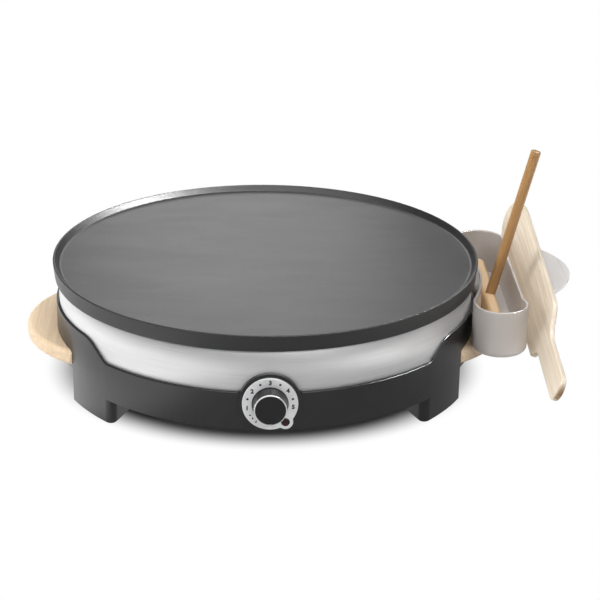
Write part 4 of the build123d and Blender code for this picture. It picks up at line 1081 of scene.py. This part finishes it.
def rays(tree):
    # where the camera looks on straight, and where it looks by way of a glossy or clear piece
    path = tree.nodes.new("ShaderNodeLightPath")
    straight, glossy, clear = (
        Wire(tree, path.outputs[f"Is {kind} Ray"]) for kind in ("Camera", "Glossy", "Transmission")
    )
    return straight, (glossy + clear).clamped()


def floorMaterial():
    # lit by the lamps for the object's sake, plain white for the camera, with a painted soft shadow
    # under the object (a dark floor colour inside a fixed ring, which also takes the real shadow) and
    # bands of light and dark for its reflections
    material, tree, shader = newMaterial("paleFloor", studio["floorFixed"])
    camera, shiny = rays(tree)
    x, y, _ = pieceAxes(tree)
    aside = x * studio["shadeNarrow"]
    clear = spread((aside * aside + y * y) ** 0.5, *studio["shadeRange"])
    clear = clear * clear * (3 - 2 * clear)

    def mixed(factor, first, second):
        return addNode(tree, "ShaderNodeMixShader", None, {0: factor, 1: first, 2: second})

    def glow(strength):
        return addNode(tree, "ShaderNodeEmission", None, {"Color": (1, 1, 1, 1), "Strength": strength})

    # painted shadow: a dark diffuse floor under the object, which also takes the real shadow, fading to
    # white at the ring
    shade = addNode(tree, "ShaderNodeBsdfDiffuse", None, {"Color": (studio["floorShade"],) * 3 + (1,)})
    stops = [(place, (level,) * 3) for place, level in studio["mirrorSteps"]]
    side = spread(x, -studio["mirrorHalf"], studio["mirrorHalf"])
    strip = addNode(tree, "ShaderNodeValToRGB", {"stops": stops}, {"Fac": side})
    shown = mixed(shiny, Wire(tree, shader.outputs[0]), glow(strip * studio["mirrorPeak"]))
    shown = mixed(camera, shown, mixed(clear, shade, glow(1.0)))
    # clear from below, so that the underside can be seen
    under = Wire(tree, tree.nodes.new("ShaderNodeNewGeometry").outputs["Backfacing"])
    shown = mixed(under, shown, addNode(tree, "ShaderNodeBsdfTransparent"))
    tree.links.new(shown.socket, tree.nodes["Material Output"].inputs["Surface"])
    return material


def makeFloor():
    half = studio["floorSize"] / 2
    corners = [(-half, -half, 0), (half, -half, 0), (half, half, 0), (-half, half, 0)]
    mesh = bpy.data.meshes.new("floor")
    mesh.from_pydata(corners, [], [(0, 1, 2, 3)])
    floor = bpy.data.objects.new("floor", mesh)
    scene.collection.objects.link(floor)
    mesh.materials.append(floorMaterial())


def makeWorld():
    # a grey room with a white backdrop behind the object and a darker side on the right
    world = bpy.data.worlds.new("studio")
    scene.world = world
    world.use_nodes = True
    tree = world.node_tree
    background = tree.nodes["Background"]
    camera, shiny = rays(tree)
    direction = addNode(tree, "ShaderNodeTexCoord", output="Generated")
    parts = tree.nodes.new("ShaderNodeSeparateXYZ")
    tree.links.new(direction.socket, parts.inputs[0])
    x, y, z = (Wire(tree, parts.outputs[key]) for key in ("X", "Y", "Z"))
    behind = spread(y, *studio["backdropRange"])
    left = spread(0 - x, *studio["leftRange"])
    right = spread(x, *studio["rightRange"])
    above = spread(z, *studio["aboveRange"])
    front = studio["front"] + above * studio["above"]
    mirrored = front + (studio["left"] - front) * left
    mirrored = mirrored + (studio["backdrop"] - mirrored) * behind
    mirrored = mirrored * (1 - right * studio["rightFlag"])
    strength = studio["room"] + (mirrored - studio["room"]) * shiny
    strength = strength + (1 - strength) * camera
    tree.links.new(strength.socket, background.inputs["Strength"])


def makeLamp(name, place, target, size, power, diffuse=True, gloss=True):
    lamp = bpy.data.lights.new(name, "AREA")
    lamp.shape = "RECTANGLE"
    lamp.size, lamp.size_y = size
    lamp.energy = power
    stand = bpy.data.objects.new(name, lamp)
    scene.collection.objects.link(stand)
    stand.location = place
    stand.visible_diffuse = diffuse
    stand.visible_glossy = gloss
    stand.rotation_euler = (Vector(target) - Vector(place)).to_track_quat("-Z", "Y").to_euler()


def makeCamera():
    pitch, yaw, roll = (radians(eye[key]) for key in ("pitch", "yaw", "roll"))
    forward = Vector((sin(yaw) * cos(pitch), cos(yaw) * cos(pitch), -sin(pitch)))
    right = Vector((cos(yaw), -sin(yaw), 0))
    up = right.cross(forward)
    turnedRight = right * cos(roll) + up * sin(roll)
    turnedUp = up * cos(roll) - right * sin(roll)
    data = bpy.data.cameras.new("camera")
    data.lens = eye["lens"]
    data.sensor_width = eye["sensor"]
    camera = bpy.data.objects.new("camera", data)
    scene.collection.objects.link(camera)
    turn = Matrix((turnedRight, turnedUp, -forward)).transposed()
    camera.matrix_world = Matrix.Translation(eye["place"]) @ turn.to_4x4()
    scene.camera = camera


makeFloor()
makeWorld()
for name, look in lamps.items():
    makeLamp(name, **look)
makeCamera()
print("stage made")
